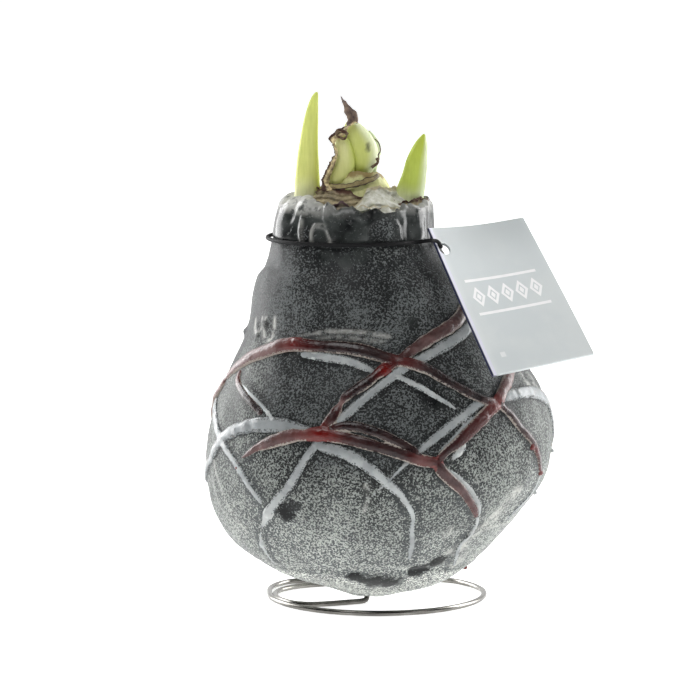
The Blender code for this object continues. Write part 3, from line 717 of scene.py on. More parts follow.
# %% Relief of the coat
COLLAR_RIDGES = (           # angle, width, height, lowest reach
    (-160, 8.0, 0.3, 106.0), (-144, 3.5, -0.8, 112.5), (-122, 4.0, -0.5, 106.6),
    (-97, 7.0, -0.3, 107.0), (-84, 4.0, 0.35, 108.0), (-62, 6.0, 0.4, 104.0),
    (-47, 4.0, -0.5, 108.0), (-38, 4.0, 0.25, 106.0), (-24, 2.6, 0.35, 105.0),
    (20, 6.0, 0.8, 102.0), (48, 4.0, 0.6, 106.0), (75, 6.0, 0.7, 99.0), (104, 4.0, 0.5, 106.0),
    (132, 7.0, 0.8, 103.0), (163, 5.0, 0.4, 105.0))
RAISED_LINES = (            # width, rise, how beaded, then angle and height along the line
    (0.75, 0.8, 0.7, ((-132, 113.4), (-130.8, 110), (-128.4, 106.6))),
    (0.7, 0.95, 0.2, ((-112.5, 114.2), (-110, 112), (-106.5, 109.5), (-104, 107.4))),
    (0.6, 0.8, 0.1, ((-121, 107.2), (-121.5, 109.4), (-120, 111.2), (-115.5, 111.6),
                      (-112, 111.4))),
    (0.7, 0.7, 0.9, ((-81, 107.4), (-81, 110.2), (-77, 112.6), (-70, 113.5), (-62, 112.8),
                      (-57, 110.6), (-56, 108.0))),
    (0.6, 0.55, 0.9, ((-74, 107.6), (-73.4, 109.8), (-68, 110.8), (-64, 109.0))),
    (0.8, 0.4, 0.3, ((-142, 78.0), (-133, 78.9), (-125, 80.0), (-107.7, 81.2), (-91.8, 80.6),
                     (-79.3, 78.6), (-70, 75.6))),
    (0.7, 0.3, 0.2, ((-60, 70.4), (-54, 67.2), (-49, 64.8))),
    (0.8, 0.5, 0.6, ((-158, 82.4), (-155.5, 80), (-156, 77.6))),
    (0.7, 0.35, 0.2, ((-93.5, 39.6), (-92.8, 37.0), (-92.6, 34.6))),
    (0.9, 0.5, 0.4, ((-49.1, 22.5), (-45.3, 24.8), (-38.3, 25.4), (-28.6, 25.5), (-12, 24.8))),
    (0.7, 0.4, 0.2, ((-112, 12.6), (-100, 14.6), (-90, 13.4), (-80, 14.8), (-68, 16.4))),
    (0.6, 0.5, 0.3, ((-33, 63.2), (-27, 65.0), (-20, 65.8), (-12, 65.4))),
    (0.5, 0.4, 0.3, ((-31, 61.8), (-24, 63.2), (-17, 63.9), (-10, 63.6))),
    (0.8, 0.6, 0.5, ((70, 104), (73, 96), (74, 88))),
    (0.8, 0.6, 0.5, ((128, 103), (126, 93), (128, 84))),
)
COAT_LUMPS = (              # rise, size and seed, as for all layers of noise
    (0.42, 21.0, 3), (0.2, 8.0, 5), (0.09, 3.1, 7))
RUN_STRETCH = (1.0, 1.0, 0.22)      # draws lumps out upwards, like runs of wax
COLLAR_SPAN = (100.0, 107.5)        # heights where the collar begins and is full
ROLL_Z = 110.5                      # the fattest level of the rolled rim
CROWN_SPAN = (110.0, 113.0)         # heights where the broken front rim begins and is full
STEP_Z = 99.0                       # the older coat ends here, under a later dip
CREASE_Z = 13.6                     # a crease runs round the underside here
FRONT = -95.0
BACK = 180.0
STROKE_SWELL = (0.32, 2.6)          # rise of the coat under each stroke, and how far it reaches
WAX_PIMPLES = (             # angle, height, radius, rise
    (-151, 83, 1.5, 0.6), (-178, 79, 1.3, 1.0), (-122, 31, 2.4, 0.7), (-96, 20, 3.4, 0.4),
    (-118, 76, 1.2, -0.5), (-70, 96, 3.0, 0.35), (-58, 92, 2.0, 0.45), (60, 84, 1.6, 0.9),
    (120, 90, 2.2, 0.6), (30, 46, 1.4, 0.8), (150, 24, 1.8, 0.7))
stroke_tree = tree_of(on_pear(np.vstack([red_rows, white_rows])))


def foot_front(angle):
    """How strong the underside crease and its painted shade are: strong in front, faint behind."""
    return 0.35 + 0.65 * bell(angle_gap(angle, FRONT), 50.0)


def line_rise(points):
    """The raised lines, some of them beaded, at each point."""
    rise = np.zeros(len(points))
    beads = 0.5 + 0.5 * clumps(points, 0.8, 61)
    for width, amount, beaded, controls in RAISED_LINES:
        route = on_pear(smooth_rows(controls, 0.4, on_pear))
        close = np.all((points > route.min(axis=0) - 3) & (points < route.max(axis=0) + 3), axis=1)
        if close.any():
            away, _ = nearest(tree_of(route), points[close])
            rough = 1.0 - beaded + beaded * 1.6 * beads[close]
            rise[close] = np.maximum(rise[close], amount * rough * bell(away, width))
    return rise


def relief(angle, height, points):
    """How far the poured coat stands proud of the plain pear, in millimetres."""
    rise = layered(points, *COAT_LUMPS)
    collar = ease(height, *COLLAR_SPAN)
    rise += (0.16 + 0.3 * collar) * clumps(points * RUN_STRETCH, 4.0, 11)
    for target, width, amount, reach in COLLAR_RIDGES:
        fade = ease(height, reach - 2.5, reach + 1.5)
        rise += amount * fade * bell(angle_gap(angle, target), width)
    rise += 0.2 * bell(height - ROLL_Z, 3.6)
    crown = ease(height, *CROWN_SPAN) * bell(angle_gap(angle, -88), 42.0)
    rise += crown * layered(points, (0.42, 2.6, 13), (0.3, 1.3, 15))
    rise -= 0.35 * bell(height - CORD_Z, 0.8)
    step = STEP_Z + 1.2 * clumps(circle_points(angle, 3.0), 1.0, 17)
    proud = 0.35 + 0.65 * bell(angle_gap(angle, BACK), 50.0)
    rise += proud * (1.0 - ease(height, step - 3.2, step)) * ease(height, 82.0, 95.0)
    crease = bell(height - CREASE_Z - 0.6 * clumps(points, 7.0, 19), 0.8)
    rise -= 0.55 * crease * foot_front(angle)
    for target, level, radius, amount in WAX_PIMPLES:
        away = np.linalg.norm(points - pear_point(target, level), axis=1)
        rise += amount * bell(away, radius)
    away, _ = nearest(stroke_tree, points)
    return rise + line_rise(points) + STROKE_SWELL[0] * bell(away, STROKE_SWELL[1])


def wax_surface(angle, height, outwards=0.0):
    """Points on the finished wax, at angles and heights, moved outwards."""
    angle = np.atleast_1d(np.asarray(angle, float))
    height = np.atleast_1d(np.asarray(height, float))
    base = bare_surface(angle, height)
    normal = surface_normal(angle, height)
    return base + normal * (relief(angle, height, base) + outwards)[:, None], normal


# %% Wax coat mesh
BARE_PATCHES = (            # angle, height, radius of smooth dark places
    (-121, 32.2, 2.9), (-118.4, 34.0, 2.0), (-88, 9.8, 4.7), (-78, 9.6, 4.4), (-97, 11.4, 3.2),
    (-62, 13.4, 3.8), (-55, 15.8, 3.4), (-97, 101.5, 2.6), (-112, 103.2, 2.8),
    (-86, 103.4, 2.6), (-69, 85.2, 1.6), (-66, 99.0, 2.0),
    (-72, 64.0, 3.4), (-60, 56.6, 2.0), (60, 20, 4.0), (130, 14, 3.5), (40, 82, 2.0))
SMEARS = (                  # angle, height, radius of cloudy pale wax
    (-46, 20.6, 3.6), (-42, 24.6, 3.0), (-40, 15.2, 3.2), (-51, 19.4, 1.8), (-58, 25.6, 1.8),
    (-22, 65.4, 2.6), (-13, 65.0, 3.0), (170, 40.0, 4.0), (70, 30.0, 4.0),
    (-36.9, 32.2, 3.4), (-37.7, 28.7, 3.6), (-34.1, 35.0, 3.0))
PALE_LINES = (              # strength, then angle and height along thin pale drips
    (0.7, ((-150.5, 84.6), (-150.5, 81.8), (-149.0, 79.4), (-146.0, 78.6), (-142.8, 79.8),
           (-142.4, 82.4), (-143.0, 85.0))),
    (0.7, ((-163, 83.4), (-160.4, 80.8), (-156.4, 80.2), (-153.4, 81.8), (-154.4, 84.4))),
    (0.45, ((-125.4, 80.9), (-114.9, 82.1), (-105.0, 82.8), (-93.4, 82.5), (-82.9, 81.4))),
    (0.45, ((-120.5, 79.9), (-110.1, 80.9), (-100.8, 81.0), (-85.4, 79.9))),
    (0.5, ((-94.0, 41.0), (-93.0, 37.6), (-93.2, 33.4))),
    (0.6, ((-131.8, 112.6), (-130.4, 109.6), (-128.8, 106.9))),
    (0.5, ((-121, 107.2), (-121.5, 109.4), (-120, 111.2), (-115.5, 111.6), (-112, 111.4))),
    (0.6, ((-110.4, 111.4), (-107.4, 109.2), (-105.4, 107.4), (-106.4, 107.0))),
    (0.6, ((-48.5, 22.9), (-45.3, 24.8), (-38.3, 25.4), (-28.6, 25.5), (-12, 24.8), (2, 24))),
    (0.5, ((-162, 44), (-159.8, 40), (-157, 37.1), (-153.6, 32.9), (-149.3, 28.1), (-143.6, 24))),
    (0.4, ((-166, 41), (-163.5, 36), (-160, 31), (-154, 26.5), (-148, 23))))
CRUSTS = (                  # angle, height, radius of pale crusty places
    (-64, 98.7, 3.2), (-70, 94.5, 3.0), (-58, 92.5, 3.4), (-68, 110.0, 4.6), (-127, 109.0, 2.0),
    (-118, 97.0, 3.0), (-45, 88.0, 3.0), (80, 100.0, 4.0), (150, 96.0, 3.5))
TONE_SPAN = (8.0, 92.0)     # the coat darkens from one height to the other
FOOT_SPAN = (9.0, 18.0)     # below these heights it is paler still
BROKEN_SPAN = (62.0, 85.0)  # the bloom grows patchier between these heights
NECK_SPAN = (86.0, 98.0)    # and thins out between these
BLOOM_COVER = 0.45
STROKE_GAP = (1.8, 0.8)     # distance from a stroke's middle where bloom is thin, and its reach
PATCH_STRENGTH = 0.8
SMEAR_STRENGTH = 0.5
LINE_REACH = 0.55
# Painted shade: the first zone darkens the middle of the belly's front, so its sides look lit.
TONE_ZONES = (              # change of tone; angle and reach; height and reach
    (-0.48, -84.0, 46.0, 55.0, 29.0), (-0.12, -150.0, 30.0, 50.0, 25.0),
    (0.3, -146.0, 22.0, 67.0, 14.0))
FOOT_SHARES = (0.0, 0.08, 0.3, 0.55, 0.8)   # rings from the prong's hole to the foot
RIM_ROLL = (                # how far inwards and up, over the rim and down inside
    (0.5, 0.75), (1.2, 1.4), (2.1, 2.0), (3.1, 2.4), (4.1, 2.55), (5.0, 2.2), (5.5, 1.0),
    (5.8, -1.6), (5.8, -5.0))
DRAWN_DOWN = (1.0, 1.0, 0.4)
COAT_COLUMNS = 340
ROW_STEP = 0.66
PRONG_AT = (-2.8, -12.5)
PRONG_HOLE = 1.15


def coat_levels():
    """Heights at equal steps along the pear's mean profile."""
    heights = TABLE_HEIGHTS
    half = (TABLE_EDGES[:, 1] - TABLE_EDGES[:, 0]) / 2
    along = np.concatenate([[0], np.cumsum(np.hypot(np.diff(heights), np.diff(half)))])
    stops = np.linspace(0, along[-1], round(along[-1] / ROW_STEP))
    return np.interp(stops, along, heights)


def rim_rings(rim, angles):
    """Rings that roll the rim over, wide at the back and left, chipped in front."""
    flat = rim * (1.0, 1.0, 0.0)
    coarse = clumps(flat, 11.0, 29)
    chips = layered(flat, (0.6, 4.5, 23), (0.5, 1.5, 27))
    chips *= 1.0 + 0.7 * bell(angle_gap(angles, -85), 38.0)
    shelf = bell(angle_gap(angles, -146), 30.0)
    lip = (0.42 + 0.58 * bell(angle_gap(angles, 175), 60.0)
           + 0.15 * bell(angle_gap(angles, 10), 50.0))
    offset = flat - (rim[:, 0].mean(), BULB_Y, 0.0)
    away = np.linalg.norm(offset, axis=1)
    rings = []
    for inward, lift in RIM_ROLL:
        reach = inward * lip * (1.0 + 0.28 * coarse) * (1.0 + 0.7 * shelf)
        ring = rim - offset * (reach / away)[:, None]
        ring[:, 2] = rim[:, 2] + lift * lip * (0.9 + 0.5 * coarse) * (1.0 + 0.6 * shelf)
        ring[:, 2] += chips * min(inward, 2)
        rings.append(ring)
    return rings


def spot_gap(points, angle, height, radius, stretch=1.0):
    """Distance of each point from a place on the pear, in radii of the spot there."""
    return np.linalg.norm((points - pear_point(angle, height)) * stretch, axis=1) / radius


def coat_marks(points, angle, on_lip):
    """Bloom, bareness, tone and paleness of the wax, partly painted shade and highlight."""
    height = points[:, 2]
    drawn = points * DRAWN_DOWN
    tone = 1.0 - ease(height, *TONE_SPAN) + 0.16 * clumps(points, 13.0, 31)
    tone += 0.13 * clumps(drawn, 6.0, 32)
    tone += 0.4 * (1.0 - ease(height, *FOOT_SPAN))
    # The first zone is painted shade on the front of the belly.
    for amount, target, width, level, spread in TONE_ZONES:
        tone += amount * bell(angle_gap(angle, target), width) * bell(height - level, spread)
    patchy = 0.05 + 0.08 * ease(height, *BROKEN_SPAN)
    density = BLOOM_COVER + patchy * (clumps(points, 9.0, 33) + clumps(drawn, 5.0, 37))
    density -= 0.12 * ease(height, *NECK_SPAN)
    away, _ = nearest(stroke_tree, points)
    density -= 0.22 * bell(away - STROKE_GAP[0], STROKE_GAP[1])
    # Painted shade: the wax is darkened, with less bloom, along the crease round the underside.
    crease = bell(height - CREASE_Z + 1.0 - 0.6 * clumps(points, 7.0, 19), 0.9)
    crease *= foot_front(angle)
    tone -= 0.3 * crease
    density -= 0.1 * crease
    bare = ease(height, CORD_Z - 0.8, CORD_Z + 0.6)
    ragged = layered(points, (0.35, 2.4, 39), (0.3, 0.9, 40))
    for patch in BARE_PATCHES:
        cover = 1.0 - ease(spot_gap(points, *patch) + ragged, 0.5, 1.2)
        bare = np.maximum(bare, PATCH_STRENGTH * cover)
    ragged = 0.4 * clumps(points, 2.0, 45)
    for crust in CRUSTS:
        cover = 1.0 - ease(spot_gap(points, *crust) + ragged, 0.6, 1.1)
        bare = bare * (1.0 - 0.85 * cover)
        density += 0.08 * cover
        tone += 0.07 * cover
    # Partly pale wax, partly a painted highlight where the rolled lip faces up into the light.
    pale = on_lip * np.maximum(bell(angle_gap(angle, -160), 42.0),
                               0.6 * bell(angle_gap(angle, -20), 30.0))
    ragged = 0.4 * clumps(points, 1.8, 47)
    for smear in SMEARS:
        cover = 1.0 - ease(spot_gap(points, *smear, (1, 1, 0.6)) + ragged, 0.3, 1.1)
        pale = np.maximum(pale, SMEAR_STRENGTH * cover)
    for strength, controls in PALE_LINES:
        away, _ = nearest(tree_of(on_pear(smooth_rows(controls, 0.4, on_pear))), points)
        pale = np.maximum(pale, strength * bell(away, LINE_REACH))
    return {"bloom": np.clip(density * (1.0 - bare), 0.0, 1.0), "bare": bare,
            "tone": np.clip(tone, 0.0, 1.4), "pale": pale}


def build_coat(material):
    """The coat as rings: out from the prong's hole, up the pear and over the rim."""
    angles = np.arange(COAT_COLUMNS) * 360.0 / COAT_COLUMNS - 180.0
    dip = (1.3 * bell(angle_gap(angles, FRONT), 45.0)
           + 0.4 * clumps(circle_points(angles, 20.0), 6.0, 25))
    rows = [wax_surface(angles, height - dip * ease(height, 108.0, RIM_Z))[0]
            for height in coat_levels()]
    hole = circle_points(angles, PRONG_HOLE) + (*PRONG_AT, BASE_Z + 0.5)
    under = [hole + (rows[0] - hole) * share + (0.0, 0.0, 0.25 * math.sin(math.pi * share))
             for share in FOOT_SHARES]
    over = rim_rings(rows[-1], angles)
    points = np.vstack(under + rows + over)
    count = len(under) + len(rows) + len(over)
    on_lip = np.clip((np.arange(count) - len(under) - len(rows) + 4) / 5.0, 0.0, 1.0)
    angle = np.degrees(np.arctan2(points[:, 1] - BULB_Y,
                                  points[:, 0] - rows[-1][:, 0].mean()))
    marks = coat_marks(points, angle, np.repeat(on_lip, COAT_COLUMNS))
    return add_piece("wax_coat_skin", points, ring_faces(count, COAT_COLUMNS),
                     material, ("wax_coat",), marks)


# %% Coat material
def coat_material():
    """Dark wax under a pale bloom; bare wax is dark, and smooth and glossy high up."""
    material, tree, shader = new_material("poured_grey_wax", Sheen_Weight=0.03,
                                          Sheen_Roughness=0.35, Specular_IOR_Level=0.22)
    bare, tone_mark = mark(tree, "bare"), mark(tree, "tone")
    # Tone carries painted shade on the belly's front and in the underside crease.
    tone = add_scaled(tree, tone_mark, bare, -1.5)
    bloom = put(tree, BLOOM, Density=mark(tree, "bloom"))
    slow = put(tree, MOTTLE, Scale=110.0, Contrast=0.6)["Value"]
    dark = blend(tree, slow, "0F1112", "1B1E1F")
    dark = blend(tree, ramp(tree, tone, 0.15, 1.0), dark, "565A5B")
    speck = "606464"
    for low, high, paler in ((0.0, 0.45, "969B96"), (0.45, 1.0, "BABEB8"), (1.0, 1.4, "ECEFE8")):
        speck = blend(tree, ramp(tree, tone, low, high), speck, paler)
    colour = blend(tree, bloom["Mask"], dark, speck)
    shine = times(tree, bare, ramp(tree, tone_mark, 1.0, 0.5))
    colour = blend(tree, times(tree, shine, times(tree, slow, 0.3)), colour, "6A6F6C")
    torn = put(tree, MOTTLE, Scale=420.0, Contrast=0.9)["Value"]
    # Cloudy pale wax, and a painted highlight on the rim's lip.
    cloud_and_lip_highlight = times(tree, mark(tree, "pale"), ramp(tree, torn, 0.0, 0.55))
    colour = blend(tree, cloud_and_lip_highlight, colour, "DADAD4")
    rough = add_scaled(tree, add_scaled(tree, 0.5, shine, -0.3), bloom["Mask"], 0.25)
    fine = noise_value(tree, coordinates(tree), 2600.0)
    dress(tree, shader, colour, rough, add_scaled(tree, bloom["Height"], fine, 0.12), 0.09)
    return material


build_coat(coat_material())

# %% [markdown]
# ## The drizzle itself
# Each stroke is a flattened tube lying on the coat. The tubes of one colour are melted into one
# skin, so they blend where they cross as hot wax does. How far a point lies across its stroke
# is then marked on it, because set wax frosts at its thin edges and stays clear in the middle.


# %% Melting strokes together
WIDTH_WANDER = ((0.13, 3.2, 41), (0.06, 1.3, 43))   # share of the width, size, seed
ROUND_END = 1.1             # a stroke rounds off over so many half widths
CLIMB_REACH = 2.2           # how near a white stroke lifts a red one over it
TUBE_SIDES = 12
UNMARKED = 9.0              # farther across than any stroke reaches
DROP_EDGE = 0.6             # how far across a drop's rim counts as being
DROP_TONES = (0.3, 1.0)     # frost and glow


def melt(points, faces, voxel_mm, passes):
    """One smooth skin round overlapping closed shells, as points and faces."""
    shell = mesh_object("melt", points * MM, faces)
    skin = shell.modifiers.new("skin", "REMESH")
    skin.mode = "VOXEL"
    skin.voxel_size = voxel_mm * MM
    smooth = shell.modifiers.new("smooth", "SMOOTH")
    smooth.factor = 0.5
    smooth.iterations = passes
    points, faces = settle(shell)
    return points / MM, faces


def join_shells(shells):
    """Several lists of points and faces as one."""
    points, faces = [], []
    start = 0
    for shell_points, shell_faces in shells:
        points.append(shell_points)
        faces += [tuple(i + start for i in face) for face in shell_faces]
        start += len(shell_points)
    return np.vstack(points), faces


def blob(centre, radii, normal):
    """A closed bead with its short axis along the normal."""
    shape = bmesh.new()
    bmesh.ops.create_icosphere(shape, subdivisions=3, radius=1.0)
    turn = Vector(normal).to_track_quat("Z", "Y").to_matrix()
    points = [np.array(turn @ Vector((v.co.x * radii[0], v.co.y * radii[1], v.co.z * radii[2])))
              + centre for v in shape.verts]
    faces = [tuple(v.index for v in face.verts) for face in shape.faces]
    shape.free()
    return np.array(points), faces


def stroke_shell(controls, squash, sink, climb_tree=None, climb=0.0):
    """A flattened tube along a stroke, rounded at both ends, uneven in width."""
    rows = stroke_rows(controls)
    base = on_pear(rows)
    count = len(rows)
    width = rows[:, 2] * (1 + layered(base, *WIDTH_WANDER))
    from_end = np.minimum(np.arange(count), np.arange(count)[::-1]) * STROKE_STEP
    width = width * np.sqrt(np.clip(from_end / (ROUND_END * width) + 0.03, 0.0, 1.0))
    rise = np.full(count, -sink)
    if climb_tree:
        away, _ = nearest(climb_tree, base)
        rise += climb * bell(away, CLIMB_REACH)
    centre, normal = wax_surface(rows[:, 0], rows[:, 1], rise)
    return tube_shell(centre, width, TUBE_SIDES, squash, normal)


def stroke_marks(points, families, drops):
    """For each point: how far across its stroke it lies, and that stroke's two tones."""
    best = np.full(len(points), UNMARKED)
    tones = np.zeros((len(points), 2))
    for controls in families:
        rows = stroke_rows(controls)
        centre, normal = wax_surface(rows[:, 0], rows[:, 1])
        _, index = nearest(tree_of(centre), points)
        aside = points - centre[index]
        aside = aside - normal[index] * (aside * normal[index]).sum(axis=1)[:, None]
        across = np.linalg.norm(aside, axis=1) / rows[index, 2]
        closer = across < best
        best[closer] = across[closer]
        tones[closer] = rows[index[closer], 3:5]
    for angle, height, radius, _ in drops:
        centre, _ = wax_surface(angle, height)
        across = DROP_EDGE * np.linalg.norm(points - centre[0], axis=1) / radius
        closer = across < np.minimum(best, 0.8)
        best[closer] = across[closer]
        tones[closer] = DROP_TONES
    return {"across": np.clip(best, 0.0, 2.0), "frost": tones[:, 0], "glow": tones[:, 1]}


# %% Drizzle materials
def drizzle_material(name, deep, clear, milky, edge, gloss, ragged, rim_start):
    """Wax that is deep or clear in the middle of a stroke, milky where it is frosted.

    The edge has its own colour. Where bloom lies it reaches in farther by the ragged amount,
    or less far when that is negative."""
    material, tree, shader = new_material(
        name, Coat_Weight=gloss, Coat_Roughness=0.12, Specular_IOR_Level=0.3,
        Subsurface_Weight=0.1, Subsurface_Radius=(1.0, 0.5, 0.4), Subsurface_Scale=0.6 * MM)
    slow = put(tree, MOTTLE, Scale=260.0, Contrast=0.5)["Value"]
    bloom = put(tree, BLOOM, Density=0.5)["Mask"]
    frost = times(tree, mark(tree, "frost"), add_scaled(tree, 0.6, slow, 0.5), clamp=True)
    core = blend(tree, mark(tree, "glow"), deep, clear)
    core = blend(tree, frost, core, milky)
    core = blend(tree, times(tree, slow, 0.1), core, milky)
    eaten = add_scaled(tree, mark(tree, "across"), minus(tree, bloom, 0.5), ragged)
    rim = ramp(tree, eaten, rim_start, rim_start + 0.2)
    colour = blend(tree, times(tree, rim, 0.9), core, edge)
    rough = add_scaled(tree, add_scaled(tree, 0.18, rim, 0.3), frost, 0.25)
    dress(tree, shader, colour, rough, add_scaled(tree, slow, bloom, 0.3), 0.12)
    return material


RED_WAX = drizzle_material("red_drizzle", "150A0C", "5E0C08", "7D5E5B", "A69D94", 0.12, 0.14, 0.76)
WHITE_WAX = drizzle_material("white_drizzle", "7C8183", "B4B8B6", "BABEBD", "343838", 0.1, -0.7,
                             0.78)

# %% Drizzle pieces
DROP_SINK = 0.15
SMOOTH_PASSES = 3
WAX_DROPS = {               # angle, height, half width, rise
    "red": ((-126.3, 79.2, 1.7, 1.5), (-88, 72.4, 1.7, 1.2), (-111.4, 54.9, 2.9, 2.1),
            (-46, 62.4, 1.8, 1.4), (-19.5, 40.0, 1.3, 1.2), (-31, 48.4, 1.0, 0.9),
            (-72, 47, 1.8, 1.0), (-143.4, 43.2, 0.8, 0.8), (-13.4, 10.6, 1.0, 0.9)),
    "white": ((-128.4, 31.2, 1.9, 1.3), (-135.9, 21.2, 1.2, 1.0), (-46.4, 25.2, 1.0, 0.9),
              (-64.4, 49.6, 1.3, 1.0), (-14, 33.5, 1.1, 1.3), (-8, 45, 0.9, 1.2),
              (-117, 75.8, 1.4, 0.9)),
}


def drizzle_piece(name, node, strokes, material, squash, sink, voxel,
                  drops=(), climb_tree=None, climb=0.0):
    """All strokes and drops of one colour, melted together and added as a piece."""
    shells = [stroke_shell(controls, squash, sink, climb_tree, climb)
              for controls in strokes.values()]
    for angle, height, radius, rise in drops:
        centre, normal = wax_surface(angle, height, -DROP_SINK)
        shells.append(blob(centre[0], (radius, radius * 0.8, rise), normal[0]))
    points, faces = melt(*join_shells(shells), voxel, SMOOTH_PASSES)
    marks = stroke_marks(points, strokes.values(), drops)
    return add_piece(name, points, faces, material, (node,), marks)


white_points = on_pear(all_rows(WHITE_STROKES))
drizzle_piece("red_drizzle_net", "red_wax_strands", RED_STROKES, RED_WAX,
              0.62, 0.12, 0.3, WAX_DROPS["red"], tree_of(white_points), 0.55)
drizzle_piece("red_drizzle_run", "red_wax_trickle", RED_TRICKLE, RED_WAX,
              0.62, 0.12, 0.24)
drizzle_piece("white_drizzle_net", "white_wax_strands", WHITE_STROKES, WHITE_WAX,
              0.36, 0.1, 0.33, WAX_DROPS["white"])
drizzle_piece("white_drizzle_run", "white_wax_trickle", WHITE_TRICKLE, WHITE_WAX,
              0.5, 0.12, 0.24)

# %% [markdown]
# ## Leaves and bud
# Young leaves are thick blades with a blunt tip, so a flattened tube with a changing half width
# is all they need, plus fine upright veins. The bud's two lobes are the same idea, fatter and
# creased. Each keeps a mark for how far up and how far across a point is, which colours them.


# %% Blade helper
BLADE_STEP = 0.55
BLADE_RIBS = 9
FULL_RIB_WIDTH = 3.0        # narrower blades have lower ribs


def blade(rows, sides, squash, facing, ribs=0.0, seed=1, twist=0.0, roughen=0.0):
    """A closed flattened tube through rows of x, y, z, half width, with marks up and side."""
    rows = smooth_rows(rows, BLADE_STEP)
    path, width = rows[:, :3], rows[:, 3]
    turns = np.radians(twist * np.linspace(0, 1, len(path)))[:, None]
    front = np.array(facing, float)
    facings = np.cos(turns) * front + np.sin(turns) * np.cross(front, (0.0, 0.0, 1.0))
    points, faces = tube_shell(path, width, sides, squash, facings)
    grid = points.reshape(len(path), sides, 3)
    outward = grid - path[:, None, :]
    length = np.maximum(np.linalg.norm(outward, axis=2, keepdims=True), 1e-6)
    around = np.linspace(0, 2 * math.pi, sides, endpoint=False)
    swell = ribs * np.cos(around * BLADE_RIBS + seed)[None, :]
    swell = swell * np.minimum(width / FULL_RIB_WIDTH, 1.0)[:, None]
    rough = layered(points, (roughen, 1.6, seed), (0.5 * roughen, 0.7, seed + 1))
    swell = swell + rough.reshape(len(path), sides) * np.minimum(width, 1.0)[:, None]
    grid = grid + outward / length * swell[:, :, None]
    up = np.repeat(np.linspace(0, 1, len(path)), sides)
    side = np.tile(np.cos(around), len(path))
    return grid.reshape(-1, 3), faces, {"up": up, "side": side}


VEIN_TINT = (0.5, 0.55, 0.25, 1.0)


def plant_material(name, low, middle, high, side, veins, fleck=None, foot=(0.0, 0.35),
                   flank=(0.25, 1.0)):
    """Fleshy plant skin coloured up its length, with painted light on one flank, finely veined."""
    material, tree, shader = new_material(
        name, Subsurface_Weight=0.1, Subsurface_Radius=(0.8, 1.0, 0.3),
        Subsurface_Scale=1.5 * MM)
    up = mark(tree, "up")
    colour = blend(tree, ramp(tree, up, *foot), low, middle)
    colour = blend(tree, ramp(tree, up, foot[1], 1.0), colour, high)
    # Painted light and shade: the right flank gets its own colour for how light falls there.
    colour = blend(tree, ramp(tree, mark(tree, "side"), *flank), colour, side)
    fibre = put(tree, FIBRE, Scale=1400.0, Contrast=0.7)["Value"]
    slow = put(tree, MOTTLE, Scale=150.0, Contrast=0.6)["Value"]
    colour = blend(tree, times(tree, fibre, veins), colour, VEIN_TINT, "MULTIPLY")
    colour = blend(tree, times(tree, slow, 0.14), colour, "8C9A3E")
    if fleck:
        colour = blend(tree, mark(tree, "spot"), colour, fleck)
    dress(tree, shader, colour, add_scaled(tree, 0.34, slow, 0.16), fibre, 0.05)
    return material


def grow(name, node, slot, skin, *shape):
    """A blade of the given shape, added as a piece."""
    points, faces, marks = blade(*shape)
    add_piece(name, points, faces, skin, node, marks)


# %% Leaves
LEAF_FOOT_Z = 109.3
LEFT_LEAF = ((-19.6, -9, LEAF_FOOT_Z, 3.4), (-20.0, -9, 114.0, 3.75), (-20.1, -9, 119.5, 3.75),
             (-20.0, -9, 126.5, 3.3), (-19.7, -9, 133.5, 2.7), (-19.0, -9, 140.5, 2.05),
             (-18.3, -9, 145.2, 1.35), (-17.7, -9, 147.4, 0.8), (-17.3, -9, 148.3, 0.3))
RIGHT_LEAF = ((7.4, -12, LEAF_FOOT_Z, 3.8), (8.5, -12, 114.5, 4.15), (9.3, -12, 119.0, 4.15),
              (10.6, -12, 124.0, 3.6), (11.4, -12, 128.6, 3.05), (12.5, -12, 133.0, 2.0),
              (13.2, -12, 135.4, 0.95), (13.6, -12, 136.4, 0.35))
# Near-white feet: partly a paler base, partly painted light against the shade of the rim.
# Right flanks: painted shade on the left leaf, painted backlight on the right leaf.
left_skin = plant_material("left_leaf_skin", "FBFBE0", "DFE386", "D8E07A", "CED466", 0.2,
                           foot=(0.12, 0.42))
right_skin = plant_material("right_leaf_skin", "FFFFEC", "C2D25E", "B9C84C", "E8F0CC", 0.22,
                            foot=(0.16, 0.5))
grow("left_leaf_blade", ("left_leaf",), "leaf_green", left_skin,
     LEFT_LEAF, 40, 0.5, (0.1, -1, 0), 0.05, 3)
grow("right_leaf_blade", ("right_leaf",), "leaf_green", right_skin,
     RIGHT_LEAF, 40, 0.5, (-0.15, -1, 0), 0.06, 5)

# %% Bud lobes and withered tip
LEFT_LOBE = ((-7.5, -10.6, 110.0, 2.6), (-8.2, -10.6, 116.0, 3.0), (-11.0, -10.9, 122.6, 3.4),
             (-10.3, -10.9, 125.1, 3.6), (-9.7, -10.9, 127.6, 3.4), (-9.4, -10.8, 129.8, 2.9),
             (-9.9, -10.8, 132.9, 2.4), (-10.5, -10.8, 134.9, 1.8), (-10.9, -10.8, 136.0, 0.8))
RIGHT_LOBE = ((-6.0, -7.0, 110.0, 2.6), (-6.4, -7.4, 118.0, 2.8), (-6.7, -8.0, 122.6, 2.8),
              (-6.0, -8.2, 124.7, 3.1), (-4.8, -8.2, 126.8, 3.85), (-4.1, -8.2, 129.6, 4.35),
              (-4.2, -8.2, 131.4, 4.5), (-5.0, -8.2, 133.6, 4.2), (-6.1, -8.2, 135.8, 3.6),
              (-7.2, -8.4, 138.0, 2.7), (-7.7, -8.4, 139.6, 1.5), (-7.8, -8.4, 140.3, 0.4))
